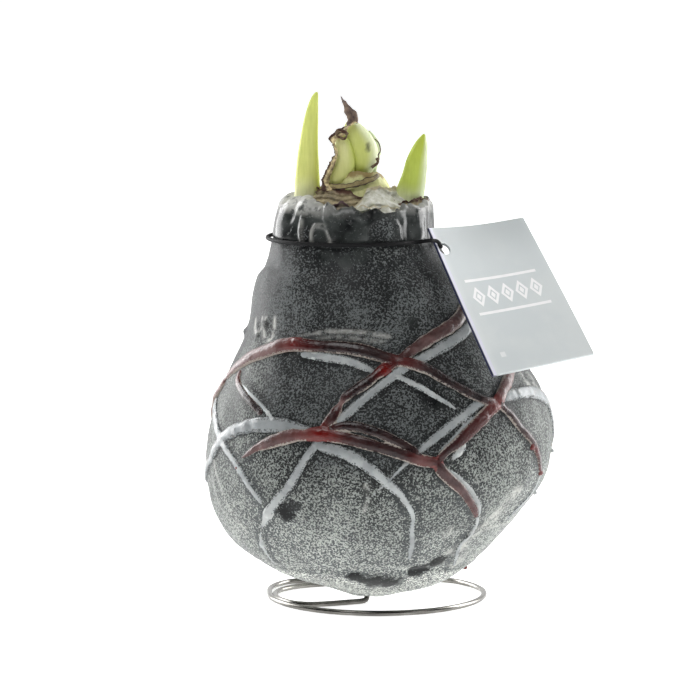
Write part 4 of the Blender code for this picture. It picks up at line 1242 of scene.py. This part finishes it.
SECOND_FOLD = ((-1.8, -7.4, 122.0, 1.4), (-1.2, -7.8, 126.8, 1.3), (-0.7, -8.0, 130.0, 1.7),
               (-0.7, -8.0, 132.4, 1.8), (-1.5, -8.0, 134.8, 1.3), (-2.6, -8.2, 137.0, 0.5))
HOOD_SPOT = (-2.7, 132.6)
TIP = ((-7.2, -9.0, 138.6, 1.5), (-7.0, -9.0, 139.8, 1.45), (-7.3, -9.0, 141.2, 1.6),
       (-8.0, -8.9, 142.6, 1.5), (-8.8, -8.7, 144.0, 1.2), (-9.7, -8.4, 145.4, 0.85),
       (-10.3, -8.2, 146.6, 0.45), (-10.5, -8.2, 147.2, 0.2))
lobe_skin = plant_material("front_lobe_skin", "E2DF9E", "DADC86", "DCDCA0", "CCD470", 0.15)
hood_skin = plant_material("hood_lobe_skin", "E2E060", "D0D868", "D0D684", "E4EAC2", 0.15,
                           fleck="4E5138", flank=(0.05, 0.8))
fold_skin = plant_material("pale_fold_skin", "C2CC90", "CBD6A6", "C3CF9C", "D6DEC0", 0.2)
grow("front_bud_lobe", ("bud_left_lobe",), "bud_green", lobe_skin,
     LEFT_LOBE, 36, 0.72, (-0.1, -1, 0), 0.05, 7, 0.0, 0.06)
hood, hood_faces, hood_marks = blade(RIGHT_LOBE, 36, 0.7, (0.1, -1, 0), 0.05, 9, 0.0, 0.06)
from_spot = np.hypot((hood[:, 0] - HOOD_SPOT[0]) / 0.6, (hood[:, 2] - HOOD_SPOT[1]) / 1.6)
hood_marks["spot"] = 0.85 * (1.0 - ease(from_spot + 0.3 * clumps(hood, 0.8, 12), 0.6, 1.2))
add_piece("hooded_bud_lobe", hood, hood_faces, hood_skin, ("bud_right_lobe",),
          hood_marks)
grow("pale_bud_fold", (), "bud_green", fold_skin, SECOND_FOLD, 24, 0.6, (0.3, -1, 0), 0.03, 11)


def dry_material(name, dark, light, edge, fibre_scale=900.0, speck=0.5, patch_scale=330.0):
    """Papery or leathery dry skin: fibres, blotches and a browned torn edge."""
    material, tree, shader = new_material(name)
    fibre = put(tree, FIBRE, Scale=fibre_scale, Contrast=0.85)["Value"]
    slow = put(tree, MOTTLE, Scale=patch_scale, Contrast=0.8)["Value"]
    share = plus(tree, times(tree, fibre, 1.0 - speck), times(tree, slow, speck))
    ragged = add_scaled(tree, mark(tree, "up"), minus(tree, slow, 0.5), 0.12)
    colour = blend(tree, ramp(tree, ragged, 0.86, 0.97), blend(tree, share, dark, light), edge)
    dress(tree, shader, colour, add_scaled(tree, 0.5, slow, 0.25), share, 0.16)
    return material


tip_skin = dry_material("withered_tip_skin", "2A1822", "8C7664", "4A3348", 500.0, 0.8, 620.0)
grow("withered_bud_tip", ("withered_tip",), "dry_brown", tip_skin,
     TIP, 30, 0.5, (0.2, -1, 0), 0.2, 2, 100.0, 0.5)

# %% [markdown]
# ## Dry skins and scales
# Everything torn and papery is a thin sheet with a ragged edge. A sheet is a grid of outer
# points; its inner face lies a fraction of a millimetre behind, and both run together at the
# edges. Ledges step the sheet out and back, like layers that broke off at different heights.


# %% Sheet helpers
THIN_EDGE = 0.3             # share of the thickness that is left at a sheet's edges
SCALE_STEP = 0.42
SCALE_THICKNESS = 0.45
TEARS = ((0.5, 4.0), (0.3, 1.5), (0.2, 0.7))        # share of the tear, size of its teeth


def sheet(outer, thickness):
    """A closed thin shell behind a grid of outer points (along, up, xyz)."""
    along, up = outer.shape[:2]
    normal = np.cross(np.gradient(outer, axis=0), np.gradient(outer, axis=1))
    normal /= np.maximum(np.linalg.norm(normal, axis=2, keepdims=True), 1e-9)
    u = np.linspace(0, 1, up)
    a = np.linspace(0, 1, along)
    inside = np.minimum(ease(1 - u, 0.0, 0.1)[None, :],
                        ease(np.minimum(a, 1 - a), 0.0, 0.04)[:, None])
    depth = thickness * (THIN_EDGE + (1 - THIN_EDGE) * inside)
    loop = np.concatenate([outer, (outer - normal * depth[:, :, None])[:, ::-1]], axis=1)
    marks = {"up": np.tile(np.concatenate([u, u[::-1]]), along)}
    return loop.reshape(-1, 3), capped_faces(along, 2 * up), marks


def torn_scale(stations, middle, start, end, seed, tear=1.0, ripple=0.3, ledges=0,
               ledge_depth=0.5, taper=0.5, hem=0.0, rise=0.0, two_edges=False):
    """A scale round the middle, from rows of height and two radii, torn along its top.

    A hem lets the lower edge wave up and down; rise lifts the end of the scale. With two
    edges the lower edge is marked like the torn one."""
    stations = np.array(stations, float)
    reach = stations[:, 1:].mean()
    columns = max(12, round(math.radians(end - start) * reach / SCALE_STEP))
    rows = max(14, round(np.ptp(stations[:, 0]) / SCALE_STEP * 1.3))
    ring = circle_points(np.linspace(start, end, columns), reach)
    torn = tear * layered(ring, *((share, size, seed + i) for i, (share, size) in enumerate(TEARS)))
    a = np.linspace(0, 1, columns)
    sides = ease(np.minimum(a, 1 - a), 0.0, 0.25) * taper + 1 - taper
    low, high = stations[0, 0], stations[-1, 0]
    u = np.linspace(0, 1, rows)
    wave = layered(ring, (hem, 5.0, seed + 6), (0.4 * hem, 1.8, seed + 7))
    bottom = low + np.maximum(wave, 0.0)
    height = bottom[:, None] + u[None, :] * (sides * (high + torn - low) + low - bottom)[:, None]
    height = np.clip(height, low, None)
    wide, deep = (np.interp(height, stations[:, 0], stations[:, k]) for k in (1, 2))
    outward = (ring / reach)[:, None, :]
    outer = np.stack([middle[0] + wide * outward[..., 0], middle[1] + deep * outward[..., 1],
                      height], axis=2)
    flat = outer.reshape(-1, 3)
    push = ripple * (clumps(flat * (1, 1, 0.4), 2.6, seed + 3)
                     + 0.45 * clumps(flat, 1.1, seed + 4)).reshape(height.shape)
    if ledges:
        stage = (height - low) / (high - low) * ledges
        stage = stage + 0.6 * clumps(flat * (1, 1, 0.2), 5.0, seed + 5).reshape(height.shape)
        push = push + ledge_depth * (0.5 - (stage % 1.0))
    outer = outer + outward * push[:, :, None]
    outer[:, :, 2] += rise * a[:, None] ** 2
    points, faces, marks = sheet(outer, SCALE_THICKNESS)
    if two_edges:
        marks["up"] = np.abs(2 * marks["up"] - 1) * 1.25
    return points, faces, marks


# %% Scale pieces
SHOOT = (-5.6, -9.0)
BUD_FOOT = (-4.5, -9.0)
BAND_MIDDLE = (-7.6, -9.4)
NECK = (-6.6, -8.0)
LEAF_FOOT = (7.6, -12.0)
papery_skin = dry_material("papery_skin", "A6A684", "F8F8F4", "BDB292", 700.0)
green_skin = dry_material("green_scale_skin", "B8BA74", "EAE8AE", "8C7A4A", 700.0)
band_skin = dry_material("tan_band_skin", "4E3C24", "AC9F6A", "2E1E14", 600.0)
fibrous_skin = dry_material("fibrous_skin", "2A1E16", "CCBC94", "4E3024", 520.0, 0.6)
brown_skin = dry_material("brown_scale_skin", "3A2A26", "BCAE96", "4A3436", 520.0, 0.6)
# Each row is piece, node, slot, skin, middle, first and last angle, seed, then stations of
# height and two radii, and how the scale is torn.
pieces = (
    ("green_scale", "green_bud_scale", "bud_green", green_skin, BUD_FOOT, (-165, 8), 21,
     ((109.8, 13.0, 13.0), (114.0, 12.0, 11.8), (118.0, 10.1, 9.8), (120.2, 8.5, 8.5),
      (123.0, 6.8, 7.0), (125.6, 5.1, 5.4)),
     dict(tear=0.7, ripple=0.2, taper=0.1)),
    ("papery_scale_skin", "papery_scale", "dry_paper", papery_skin, SHOOT, (-99, 12), 31,
     ((111.6, 17.9, 19.0), (113.6, 16.8, 17.4), (116.4, 15.0, 14.0), (119.0, 13.2, 11.2),
      (121.4, 11.6, 9.2)),
     dict(tear=1.4, ripple=0.9, ledges=2, ledge_depth=0.8, taper=0.55, hem=3.0)),
    ("papery_scale_skin", "papery_scale", "dry_paper", papery_skin, SHOOT, (-101, -38), 35,
     ((111.8, 19.2, 20.0), (113.4, 18.6, 19.2), (115.4, 17.4, 17.2), (116.8, 16.4, 15.6)),
     dict(tear=2.2, ripple=0.9, ledges=1, ledge_depth=0.6, taper=0.4, hem=2.0)),
    ("fibrous_ledges", "fibrous_scale", "dry_paper", fibrous_skin, BAND_MIDDLE, (-205, -72), 41,
     ((110.6, 16.2, 18.0), (113.0, 14.6, 16.2), (115.6, 12.8, 13.6), (118.2, 10.8, 10.8),
      (120.9, 9.2, 8.6)),
     dict(tear=1.2, ripple=0.45, ledges=8, ledge_depth=1.1, taper=0.2)),
    ("tan_band", "dry_band_scale", "dry_brown", band_skin, BAND_MIDDLE, (-186, -22), 51,
     ((120.2, 9.0, 8.7), (120.8, 8.8, 8.4), (121.3, 8.4, 8.0), (121.8, 8.1, 7.7)),
     dict(tear=0.8, ripple=0.5, taper=0.2, rise=4.0, two_edges=True)),
    ("back_neck_skin", "back_neck_scale", "dry_brown", brown_skin, SHOOT, (12, 168), 61,
     ((109.6, 13.0, 14.6), (114.0, 12.0, 13.0), (119.0, 9.8, 10.4)),
     dict(tear=1.8, ripple=0.6, ledges=3, ledge_depth=0.9, taper=0.3)),
    ("outer_neck_skin", "outer_neck_scale", "dry_brown", brown_skin, NECK, (-318, -42), 71,
     ((109.6, 18.6, 18.6), (114.0, 18.2, 18.3), (116.6, 17.2, 17.4)),
     dict(tear=2.6, ripple=0.8, ledges=3, ledge_depth=0.8, taper=0.2)),
    ("leaf_sheath_skin", "right_leaf_sheath", "dry_brown", fibrous_skin, LEAF_FOOT, (-185, 15), 81,
     ((109.6, 7.2, 6.4), (112.0, 7.2, 6.2), (114.4, 6.8, 5.8), (117.0, 6.4, 5.4)),
     dict(tear=2.8, ripple=0.9, ledges=4, ledge_depth=1.0, taper=0.15, rise=2.0)),
)
made = {}
for name, node, slot, skin, middle, span, seed, stations, shape in pieces:
    sheets = made.setdefault(name, (node, slot, skin, []))[3]
    sheets.append(torn_scale(stations, middle, *span, seed, **shape))
for name, (node, slot, skin, sheets) in made.items():
    points, faces = join_shells([one[:2] for one in sheets])
    up = np.concatenate([one[2]["up"] for one in sheets])
    add_piece(name, points, faces, skin, (node,), {"up": up})

# %% Torn edge of the old bud skin
SKIN_EDGE = (               # outer x and height, inner x and height, y
    (-16.4, 120.4, -10.2, 120.3, -15.6), (-16.1, 121.4, -10.8, 121.2, -15.0),
    (-15.9, 122.4, -13.6, 122.2, -14.0), (-15.6, 123.6, -13.7, 123.5, -13.5),
    (-15.0, 125.5, -13.1, 125.4, -13.8), (-14.1, 127.2, -12.3, 127.3, -14.0),
    (-12.6, 130.1, -11.6, 129.8, -13.8), (-12.1, 131.5, -11.3, 131.6, -13.4),
    (-13.2, 133.7, -12.2, 133.7, -13.0), (-13.8, 136.0, -11.0, 135.4, -12.6),
    (-11.4, 137.6, -9.3, 136.2, -12.2), (-9.5, 138.5, -8.6, 137.8, -11.6),
    (-7.9, 139.4, -7.3, 138.9, -11.0), (-6.2, 140.1, -5.8, 139.7, -10.4))
STRIP_COLUMNS = 14
SCROLL_AT = (-10.2, -13.2, 136.4)
SCROLL_TURNS = 1.25
SCROLL_RADIUS = 1.45
HOOD_Y = -10.2
HOOD_THREADS = (            # radius, then x and height along the brown threads on the hood
    (0.17, ((-0.6, 134.9), (0.5, 133.6), (0.9, 131.5), (0.3, 130.3), (0.5, 128.9),
            (-0.1, 127.9), (-0.9, 127.0))),
    (0.42, ((-0.2, 129.4), (0.2, 128.4), (-0.3, 127.6), (-1.0, 127.1), (-1.6, 126.6))))
HEM_ROUTE = ((-13.2, -13.4, 121.4), (-12.0, -14.6, 120.9), (-9.4, -15.6, 121.6),
             (-6.6, -16.0, 122.4))


def torn_strip():
    """The ragged strip down the bud's left side, as a sheet."""
    rows = smooth_rows(SKIN_EDGE, 0.35, lambda r: r[:, [0, 4, 1]])
    share = np.linspace(0, 1, STRIP_COLUMNS)
    level = rows[:, [1, 1, 1]]
    jag = layered(level, (0.45, 1.3, 91), (0.3, 0.5, 92))
    x = rows[:, 2][:, None] + (rows[:, 0] + jag - rows[:, 2])[:, None] * share
    y = rows[:, 4][:, None] - 0.9 * np.sin(math.pi * 1.15 * share)[None, :]
    z = rows[:, 3][:, None] + (rows[:, 1] - rows[:, 3])[:, None] * share[None, :]
    grid = np.stack([x, y, z], axis=2)
    flat = grid.reshape(-1, 3)
    flat[:, 1] += layered(flat, (0.4, 1.5, 93), (0.25, 0.7, 94))
    flat[:, 2] += 0.3 * clumps(flat, 1.1, 95)
    return sheet(flat.reshape(grid.shape), 0.4)


def torn_skin():
    """The strip of torn skin, its curled scroll and the brown hem over the bud's hood."""
    points, faces, marks = torn_strip()
    shells = [(points, faces)]
    turns = np.linspace(0, 2 * math.pi * SCROLL_TURNS, 46)
    radius = (SCROLL_RADIUS - 0.5 * turns / turns[-1]) * (1.0 + 0.28 * np.cos(2 * turns + 0.8))
    curl = np.column_stack([SCROLL_AT[0] + radius * np.cos(turns),
                            SCROLL_AT[1] - 0.3 * np.sin(turns * 0.7),
                            SCROLL_AT[2] + 1.15 * radius * np.sin(turns)])
    shells.append(tube_shell(curl, 0.4 + 0.16 * clumps(curl, 0.9, 96), 10))
    for radius, thread in HOOD_THREADS:
        way = smooth_rows([(x, HOOD_Y, z) for x, z in thread], 0.3)
        shells.append(tube_shell(way, radius, 8))
    hem = smooth_rows(HEM_ROUTE, 0.35)
    shells.append(tube_shell(hem, 0.3 + 0.1 * clumps(hem, 0.9, 97), 8))
    points, faces = join_shells(shells)
    extra = len(points) - len(marks["up"])
    return points, faces, {"up": np.append(marks["up"] * 1.25, np.full(extra, 0.95))}


torn_brown = dry_material("torn_edge_skin", "32190C", "F0DCA8", "3E200F", 600.0, 0.85, 850.0)
points, faces, marks = torn_skin()
add_piece("torn_bud_skin", points, faces, torn_brown, ("dry_bud_skin",), marks)

# %% [markdown]
# ## The bulb inside the wax
# Little of the bulb itself shows: only the fibrous crown inside the collar. It is still a whole
# body, a little smaller than the coat, with the cut rings of its scales on top.

# %% Bulb body
BODY_FOOT_Z, CROWN_Z = 7.4, 109.0
BODY_INSET = 2.9
BODY_COLUMNS = 200
CUT_RINGS = 7.0             # rings of cut scales from the rim to the middle of the crown
RING_HEIGHT = 0.9
MOUND_HEIGHT = 2.6


def build_bulb(material):
    """The bulb's body inside the coat, with the cut rings of its scales on top."""
    angles = np.linspace(-180, 180, BODY_COLUMNS, endpoint=False)
    rings = []
    for height in np.linspace(BODY_FOOT_Z, CROWN_Z, 90):
        flat = np.full(BODY_COLUMNS, height)
        rings.append(bare_surface(angles, flat) - surface_normal(angles, flat) * BODY_INSET)
    rim = rings[-1]
    middle = np.array([*NECK, 0.0])
    for share in np.linspace(0.96, 0.04, 34):
        ring = middle + (rim - middle) * share
        flat = ring * (1, 1, 0)
        layers = RING_HEIGHT * abs((share * CUT_RINGS) % 1.0 - 0.5)
        mound = MOUND_HEIGHT * (1 - share) ** 0.7
        rough = layered(flat, (0.8, 2.2, 101), (0.4, 1.0, 103))
        ring[:, 2] = CROWN_Z + 0.6 + mound + layers + rough
        rings.append(ring)
    foot = rings[0]
    core = foot.mean(axis=0)
    rings = [core + (foot - core) * share for share in (0.05, 0.5)] + rings
    points = np.vstack(rings)
    faces = ring_faces(len(rings), BODY_COLUMNS)
    marks = {"up": np.clip((points[:, 2] - 60) / 60, 0, 0.8)}
    add_piece("bulb_flesh_body", points, faces, material, ("bulb_body",), marks)


build_bulb(dry_material("crown_skin", "2E241C", "8F7F5C", "6B5638", 420.0, 0.7))

# %% [markdown]
# ## Cord, tag and stand
# The elastic hugs the neck in its own groove and runs through the tag's hole. The tag is one
# card folded on its left edge and printed with lozenges between two rules. The stand is one
# steel wire in a flat spiral: a prong up the middle, an arm, a turn inside the ring's left
# side, the ring, and a free end behind.

# %% Tag axes
TAG_CORNER = np.array([14.2, -20.2, 108.9])
TAG_ACROSS = np.array([28.4, 14.0, 3.2])
TAG_DOWN = np.array([18.7, -25.0, -38.0])
TAG_WIDTH, TAG_HEIGHT = 32.0, 49.3
TAG_THICKNESS = 1.0
LEAF_CARD = 0.35
HOLE_ACROSS, HOLE_DOWN, HOLE_RADIUS = 2.7, 7.1, 1.9
CARD_SHIFT = -0.5           # the card hangs a little to the left of its nominal corner
CARD_WIDTH = 33.4
down = TAG_DOWN / np.linalg.norm(TAG_DOWN)
across = TAG_ACROSS - down * np.dot(TAG_ACROSS, down)
across /= np.linalg.norm(across)
out = np.cross(down, across)


def card_warp(across_mm, down_mm):
    """How far the hanging card twists out of its plane; most where the cord pulls it."""
    u, v = across_mm / TAG_WIDTH, np.clip(down_mm / TAG_HEIGHT, 0, 1)
    return (1 - v) ** 1.4 * (2.3 - 4.8 * u - 1.2 * np.sin(math.pi * np.clip(u, 0, 1)))


def on_tag(across_mm, down_mm, out_mm):
    """Points on the tag, from distances across, down and out of its front."""
    a, d, o = np.broadcast_arrays(*[np.asarray(v, float) for v in (across_mm, down_mm, out_mm)])
    o = o + card_warp(a, d)
    a = a + CARD_SHIFT
    return TAG_CORNER + a[..., None] * across + d[..., None] * down + o[..., None] * out


# %% Tag card
SOFT_EDGE = 0.05
LINE_HALF = 0.45            # half the width of a printed line
PRINT_MIDDLE, PRINT_HALF = 16.5, 12.0
RULES_DOWN = (18.4, 29.6)
LOZENGES_DOWN = 24.0
LOZENGE_START, LOZENGE_PITCH = 4.5, 4.8
LOZENGE_REACH, LOZENGE_DOT, LOZENGE_SLOPE = 1.65, 0.75, 0.62
SQUARE_AT, SQUARE_HALF = (6.0, 43.5), 0.8


def bell_node(tree, distance, width):
    """1 at no distance and fading to 0 past the width."""
    return minus(tree, 1.0, ramp(tree, distance, 0.0, width))


def band(tree, value, centre, half):
    """1 where the value lies within half of the centre, with a narrow soft edge."""
    away = maths(tree, "ABSOLUTE", minus(tree, value, centre))
    return minus(tree, 1.0, ramp(tree, away, half - SOFT_EDGE, half + SOFT_EDGE))


def build_print():
    """A plain printed ornament: a row of lozenges between two rules, and a small square."""
    tree, given, result = new_group("tag_print", {"Across": 0.0, "Down": 0.0, "Front": 0.0},
                                    ("Mask",))
    over, drop = given.outputs["Across"], given.outputs["Down"]
    cell = maths(tree, "DIVIDE", minus(tree, over, LOZENGE_START), LOZENGE_PITCH)
    beside = maths(tree, "ABSOLUTE", minus(tree, maths(tree, "FRACT", cell), 0.5))
    above = maths(tree, "ABSOLUTE", minus(tree, drop, LOZENGES_DOWN))
    reach = plus(tree, times(tree, beside, LOZENGE_PITCH), times(tree, above, LOZENGE_SLOPE))
    lines = larger(tree, band(tree, reach, LOZENGE_REACH, LINE_HALF),
                   band(tree, reach, 0.0, LOZENGE_DOT))
    for level in RULES_DOWN:
        lines = larger(tree, lines, band(tree, drop, level, LINE_HALF))
    lines = times(tree, lines, band(tree, over, PRINT_MIDDLE, PRINT_HALF))
    square = times(tree, band(tree, over, SQUARE_AT[0], SQUARE_HALF),
                   band(tree, drop, SQUARE_AT[1], SQUARE_HALF))
    lines = larger(tree, lines, times(tree, square, 0.5))
    wire(tree, times(tree, lines, given.outputs["Front"]), result.inputs["Mask"])
    return tree


PRINT = build_print()


def tag_material():
    """Coated card: cool grey, darker up top, faint tooth, painted light and shade at the fold."""
    material, tree, shader = new_material("coated_card", Coat_Weight=0.15)
    across_mm, down_mm, front = (mark(tree, name) for name in ("across_mm", "down_mm", "front"))
    slow = put(tree, MOTTLE, Scale=45.0, Contrast=0.3)["Value"]
    colour = blend(tree, slow, "D5DBDC", "DBE0E0")
    printed = put(tree, PRINT, Across=across_mm, Down=down_mm, Front=front)["Mask"]
    fold_shadow_behind = times(tree, minus(tree, 1.0, front), bell_node(tree, across_mm, 3.0))
    # Painted highlight on the rounded fold: the pale band and the lilac line beside the edge.
    # Painted shadow: the navy along the fold and on the back leaf beside it.
    for share, tint in ((times(tree, bell_node(tree, down_mm, 16.0), 0.8), "BCC2C3"),
                        (times(tree, bell_node(tree, across_mm, 3.5), 0.5), "EEF0F2"),
                        (printed, "FFFFFF"),
                        (times(tree, band(tree, across_mm, 0.9, 0.45), 0.6), "E9E6FA"),
                        (larger(tree, fold_shadow_behind, band(tree, across_mm, -0.2, 0.55)), "1E2148")):
        colour = blend(tree, share, colour, tint)
    tooth = noise_value(tree, coordinates(tree), 3000.0, 2.0, 0.6)
    dress(tree, shader, colour, add_scaled(tree, 0.3, tooth, 0.16), tooth, 0.015)
    return material


def card_side(radius, way, run_steps, arc_steps):
    """One side of the folded card, from a free edge round the fold to the other free edge.

    The outer side goes way 1, from the front leaf; the inner side way -1, from the back."""
    fold = TAG_THICKNESS / 2
    start, stop = -fold + way * radius, -fold - way * radius
    run = np.linspace(CARD_WIDTH - 0.4, fold + 0.1, run_steps)
    return ([(CARD_WIDTH, start)] + [(a, start) for a in run]
            + [(fold - radius * math.sin(t), -fold + way * radius * math.cos(t))
               for t in np.linspace(0.1, math.pi - 0.1, arc_steps)]
            + [(a, stop) for a in run[::-1]] + [(CARD_WIDTH, stop)])


def card_section():
    """The folded card seen from its top edge: points (across, out) round its outline."""
    fold = TAG_THICKNESS / 2
    return np.array(card_side(fold, 1, 44, 11) + card_side(fold - LEAF_CARD, -1, 30, 7))


def build_tag(material):
    """The folded card with its punched hole, and its marks across, down and in front."""
    section = card_section()
    downs = np.linspace(0, TAG_HEIGHT, 70)
    rings = [on_tag(section[:, 0], d, section[:, 1]) for d in downs]
    faces = capped_faces(len(downs), len(section))
    card = mesh_object("card", world(np.vstack(rings)), faces)
    punch_shape = bmesh.new()
    bmesh.ops.create_cone(punch_shape, cap_ends=True, segments=48, depth=6 * MM,
                          radius1=HOLE_RADIUS * MM, radius2=HOLE_RADIUS * MM)
    punch_mesh = bpy.data.meshes.new("punch")
    punch_shape.to_mesh(punch_mesh)
    punch_shape.free()
    punch = bpy.data.objects.new("punch", punch_mesh)
    bpy.context.scene.collection.objects.link(punch)
    punch.matrix_world = (
        Matrix.Translation(world(on_tag(HOLE_ACROSS, HOLE_DOWN, -TAG_THICKNESS / 2)))
        @ Vector(out).to_track_quat("Z", "Y").to_matrix().to_4x4())
    cut = card.modifiers.new("hole", "BOOLEAN")
    cut.operation = "DIFFERENCE"
    cut.solver = "EXACT"
    cut.object = punch
    points, faces = settle(card)
    bpy.data.objects.remove(punch)
    points = (points - ORIGIN) / MM
    relative = points - TAG_CORNER
    a, d = relative @ across - CARD_SHIFT, relative @ down
    front = (relative @ out - card_warp(a, d)) > -LEAF_CARD / 2
    marks = {"across_mm": a, "down_mm": d, "front": front.astype(float)}
    piece = add_piece("folded_tag", points, faces, material, ("swing_tag",), marks)
    piece.data.shade_flat()


build_tag(tag_material())


# %% Elastic cord
CORD_RADIUS = 0.56
CORD_LIFT = 1.15            # from the plain pear to the middle of the cord
CORD_SPAN = (-8, 316)       # angles of the neck that the cord follows
CORD_IN_FRONT = ((-2.6, 5.0, 1.8), (-0.6, 5.1, 1.5), (0.7, 5.4, 1.2))   # on the tag
CORD_BEHIND = ((0.0, 0.0, 0.0), (0.0, 2.4, 0.2), (-0.6, 5.8, 0.6), (-1.3, 9.4, 1.0))
WEAVE_DEPTH = 0.035
WEAVE_LENGTH = 5.0          # rows of points to a turn of the weave
WEAVE_THREADS = 3


def cord_route():
    """The loop round the neck, then through the tag's hole and back behind the tag."""
    angles = np.linspace(*CORD_SPAN, 25)
    levels = np.full(len(angles), CORD_Z)
    loop = bare_surface(angles, levels) + surface_normal(angles, levels) * CORD_LIFT
    in_front = [on_tag(*stop) for stop in CORD_IN_FRONT]
    hole = on_tag(HOLE_ACROSS - 0.8, HOLE_DOWN - 1.0, -0.4)
    controls = np.vstack([loop, in_front, hole + np.array(CORD_BEHIND)])
    closed = np.vstack([controls[-2:], controls, controls[:3]])
    rows = smooth_rows(closed, 0.35)
    half = len(rows) // 2
    starts = np.linalg.norm(rows - controls[0], axis=1)
    return rows[np.argmin(starts[:half // 2]):half + np.argmin(starts[half:])]


def build_cord(material):
    """A closed woven tube: the weave is raised in two crossing spirals."""
    route = cord_route()
    count, sides = len(route), 16
    ahead = np.roll(route, -1, axis=0) - np.roll(route, 1, axis=0)
    ahead /= np.linalg.norm(ahead, axis=1)[:, None]
    side = np.cross(ahead, (0.0, 0.0, 1.0))
    side /= np.linalg.norm(side, axis=1)[:, None]
    lift = np.cross(side, ahead)
    around = np.linspace(0, 2 * math.pi, sides, endpoint=False)
    thread = WEAVE_THREADS * around[None, :]
    along = np.arange(count)[:, None] * 2 * math.pi / WEAVE_LENGTH
    radius = CORD_RADIUS + WEAVE_DEPTH * (np.cos(thread + along) + np.cos(thread - along))
    points = (route[:, None, :] + radius[:, :, None] * (
        side[:, None, :] * np.cos(around)[None, :, None]
        + lift[:, None, :] * np.sin(around)[None, :, None])).reshape(-1, 3)
    faces = [face[::-1] for face in ring_faces(count, sides)]
    tail = (count - 1) * sides
    faces += [(k, tail + k, tail + (k + 1) % sides, (k + 1) % sides)[::-1] for k in range(sides)]
    add_piece("elastic_loop", points, faces, material, ("elastic_cord",))
    print("cord loop, mm:", round(float(np.linalg.norm(np.diff(route, axis=0), axis=1).sum())))


def cord_material():
    """Black elastic thread, matt and nearly even."""
    material, tree, shader = new_material("woven_elastic", Specular_IOR_Level=0.2)
    weave = noise_value(tree, coordinates(tree), 2500.0, 2.0, 0.6)
    dress(tree, shader, blend(tree, weave, "050506", "121315"),
          add_scaled(tree, 0.5, weave, 0.25), weave, 0.05)
    return material


build_cord(cord_material())

# %% Wire stand
WIRE_RADIUS = 0.8
WIRE_STEP = 0.6
RING_RADIUS = 31.4
RING_FRONT = 1.12           # the ring's front is that much deeper than a circle
PRONG = ((*PRONG_AT, 14.7), (*PRONG_AT, 9.0), (*PRONG_AT, 5.0), (-2.9, -12.6, 2.2))
ARM_AND_TURN = (            # x and y: out to the left, then a turn inside the ring
    (-3.8, -13.2), (-9.0, -16.4), (-14.5, -18.8), (-19.5, -20.0), (-24.0, -18.0),
    (-27.0, -13.8), (-28.9, -9.0), (-29.7, -4.0), (-29.6, 0.5), (-28.0, 6.0), (-24.4, 11.0),
    (-20.1, 14.2), (-15.0, 16.4), (-8.0, 19.2), (0.0, 22.0), (8.0, 24.2), (15.6, 24.8))
FREE_END = (
    (-31.5, 5.8), (-30.4, 12.3), (-28.2, 17.2), (-25.5, 20.6), (-22.4, 21.6), (-18.6, 19.8))


def wire_route():
    """Down the prong, out along the arm, once inside the ring's left side, then the ring."""
    ring = [(RING_RADIUS * math.cos(turn),
             RING_RADIUS * math.sin(turn) * (RING_FRONT if turn < 0 else 1.0))
            for turn in (math.radians(degrees) for degrees in range(45, -181, -12))]
    flat = [*ARM_AND_TURN, *ring, *FREE_END]
    return smooth_rows([*PRONG, *((x, y, WIRE_RADIUS) for x, y in flat)], WIRE_STEP)


def steel_material():
    """Drawn steel: bright, with faint fine and blotchy dulling."""
    material, tree, shader = new_material("drawn_steel", Metallic=1.0)
    slow = put(tree, MOTTLE, Scale=90.0, Contrast=0.6)["Value"]
    fine = noise_value(tree, coordinates(tree), 1500.0, 3.0, 0.6)
    dress(tree, shader, blend(tree, slow, "6C6A66", "95938E"),
          add_scaled(tree, 0.14, fine, 0.18), fine, 0.01)
    return material


route = wire_route()
from_end = np.minimum(np.arange(len(route)), np.arange(len(route))[::-1]) * WIRE_STEP
radii = WIRE_RADIUS * np.sqrt(np.clip(from_end / 0.7 + 0.25, 0.0, 1.0))
points, faces = tube_shell(route, radii, 24)
add_piece("bent_wire_ring", points, faces, steel_material(), ("wire_stand",))
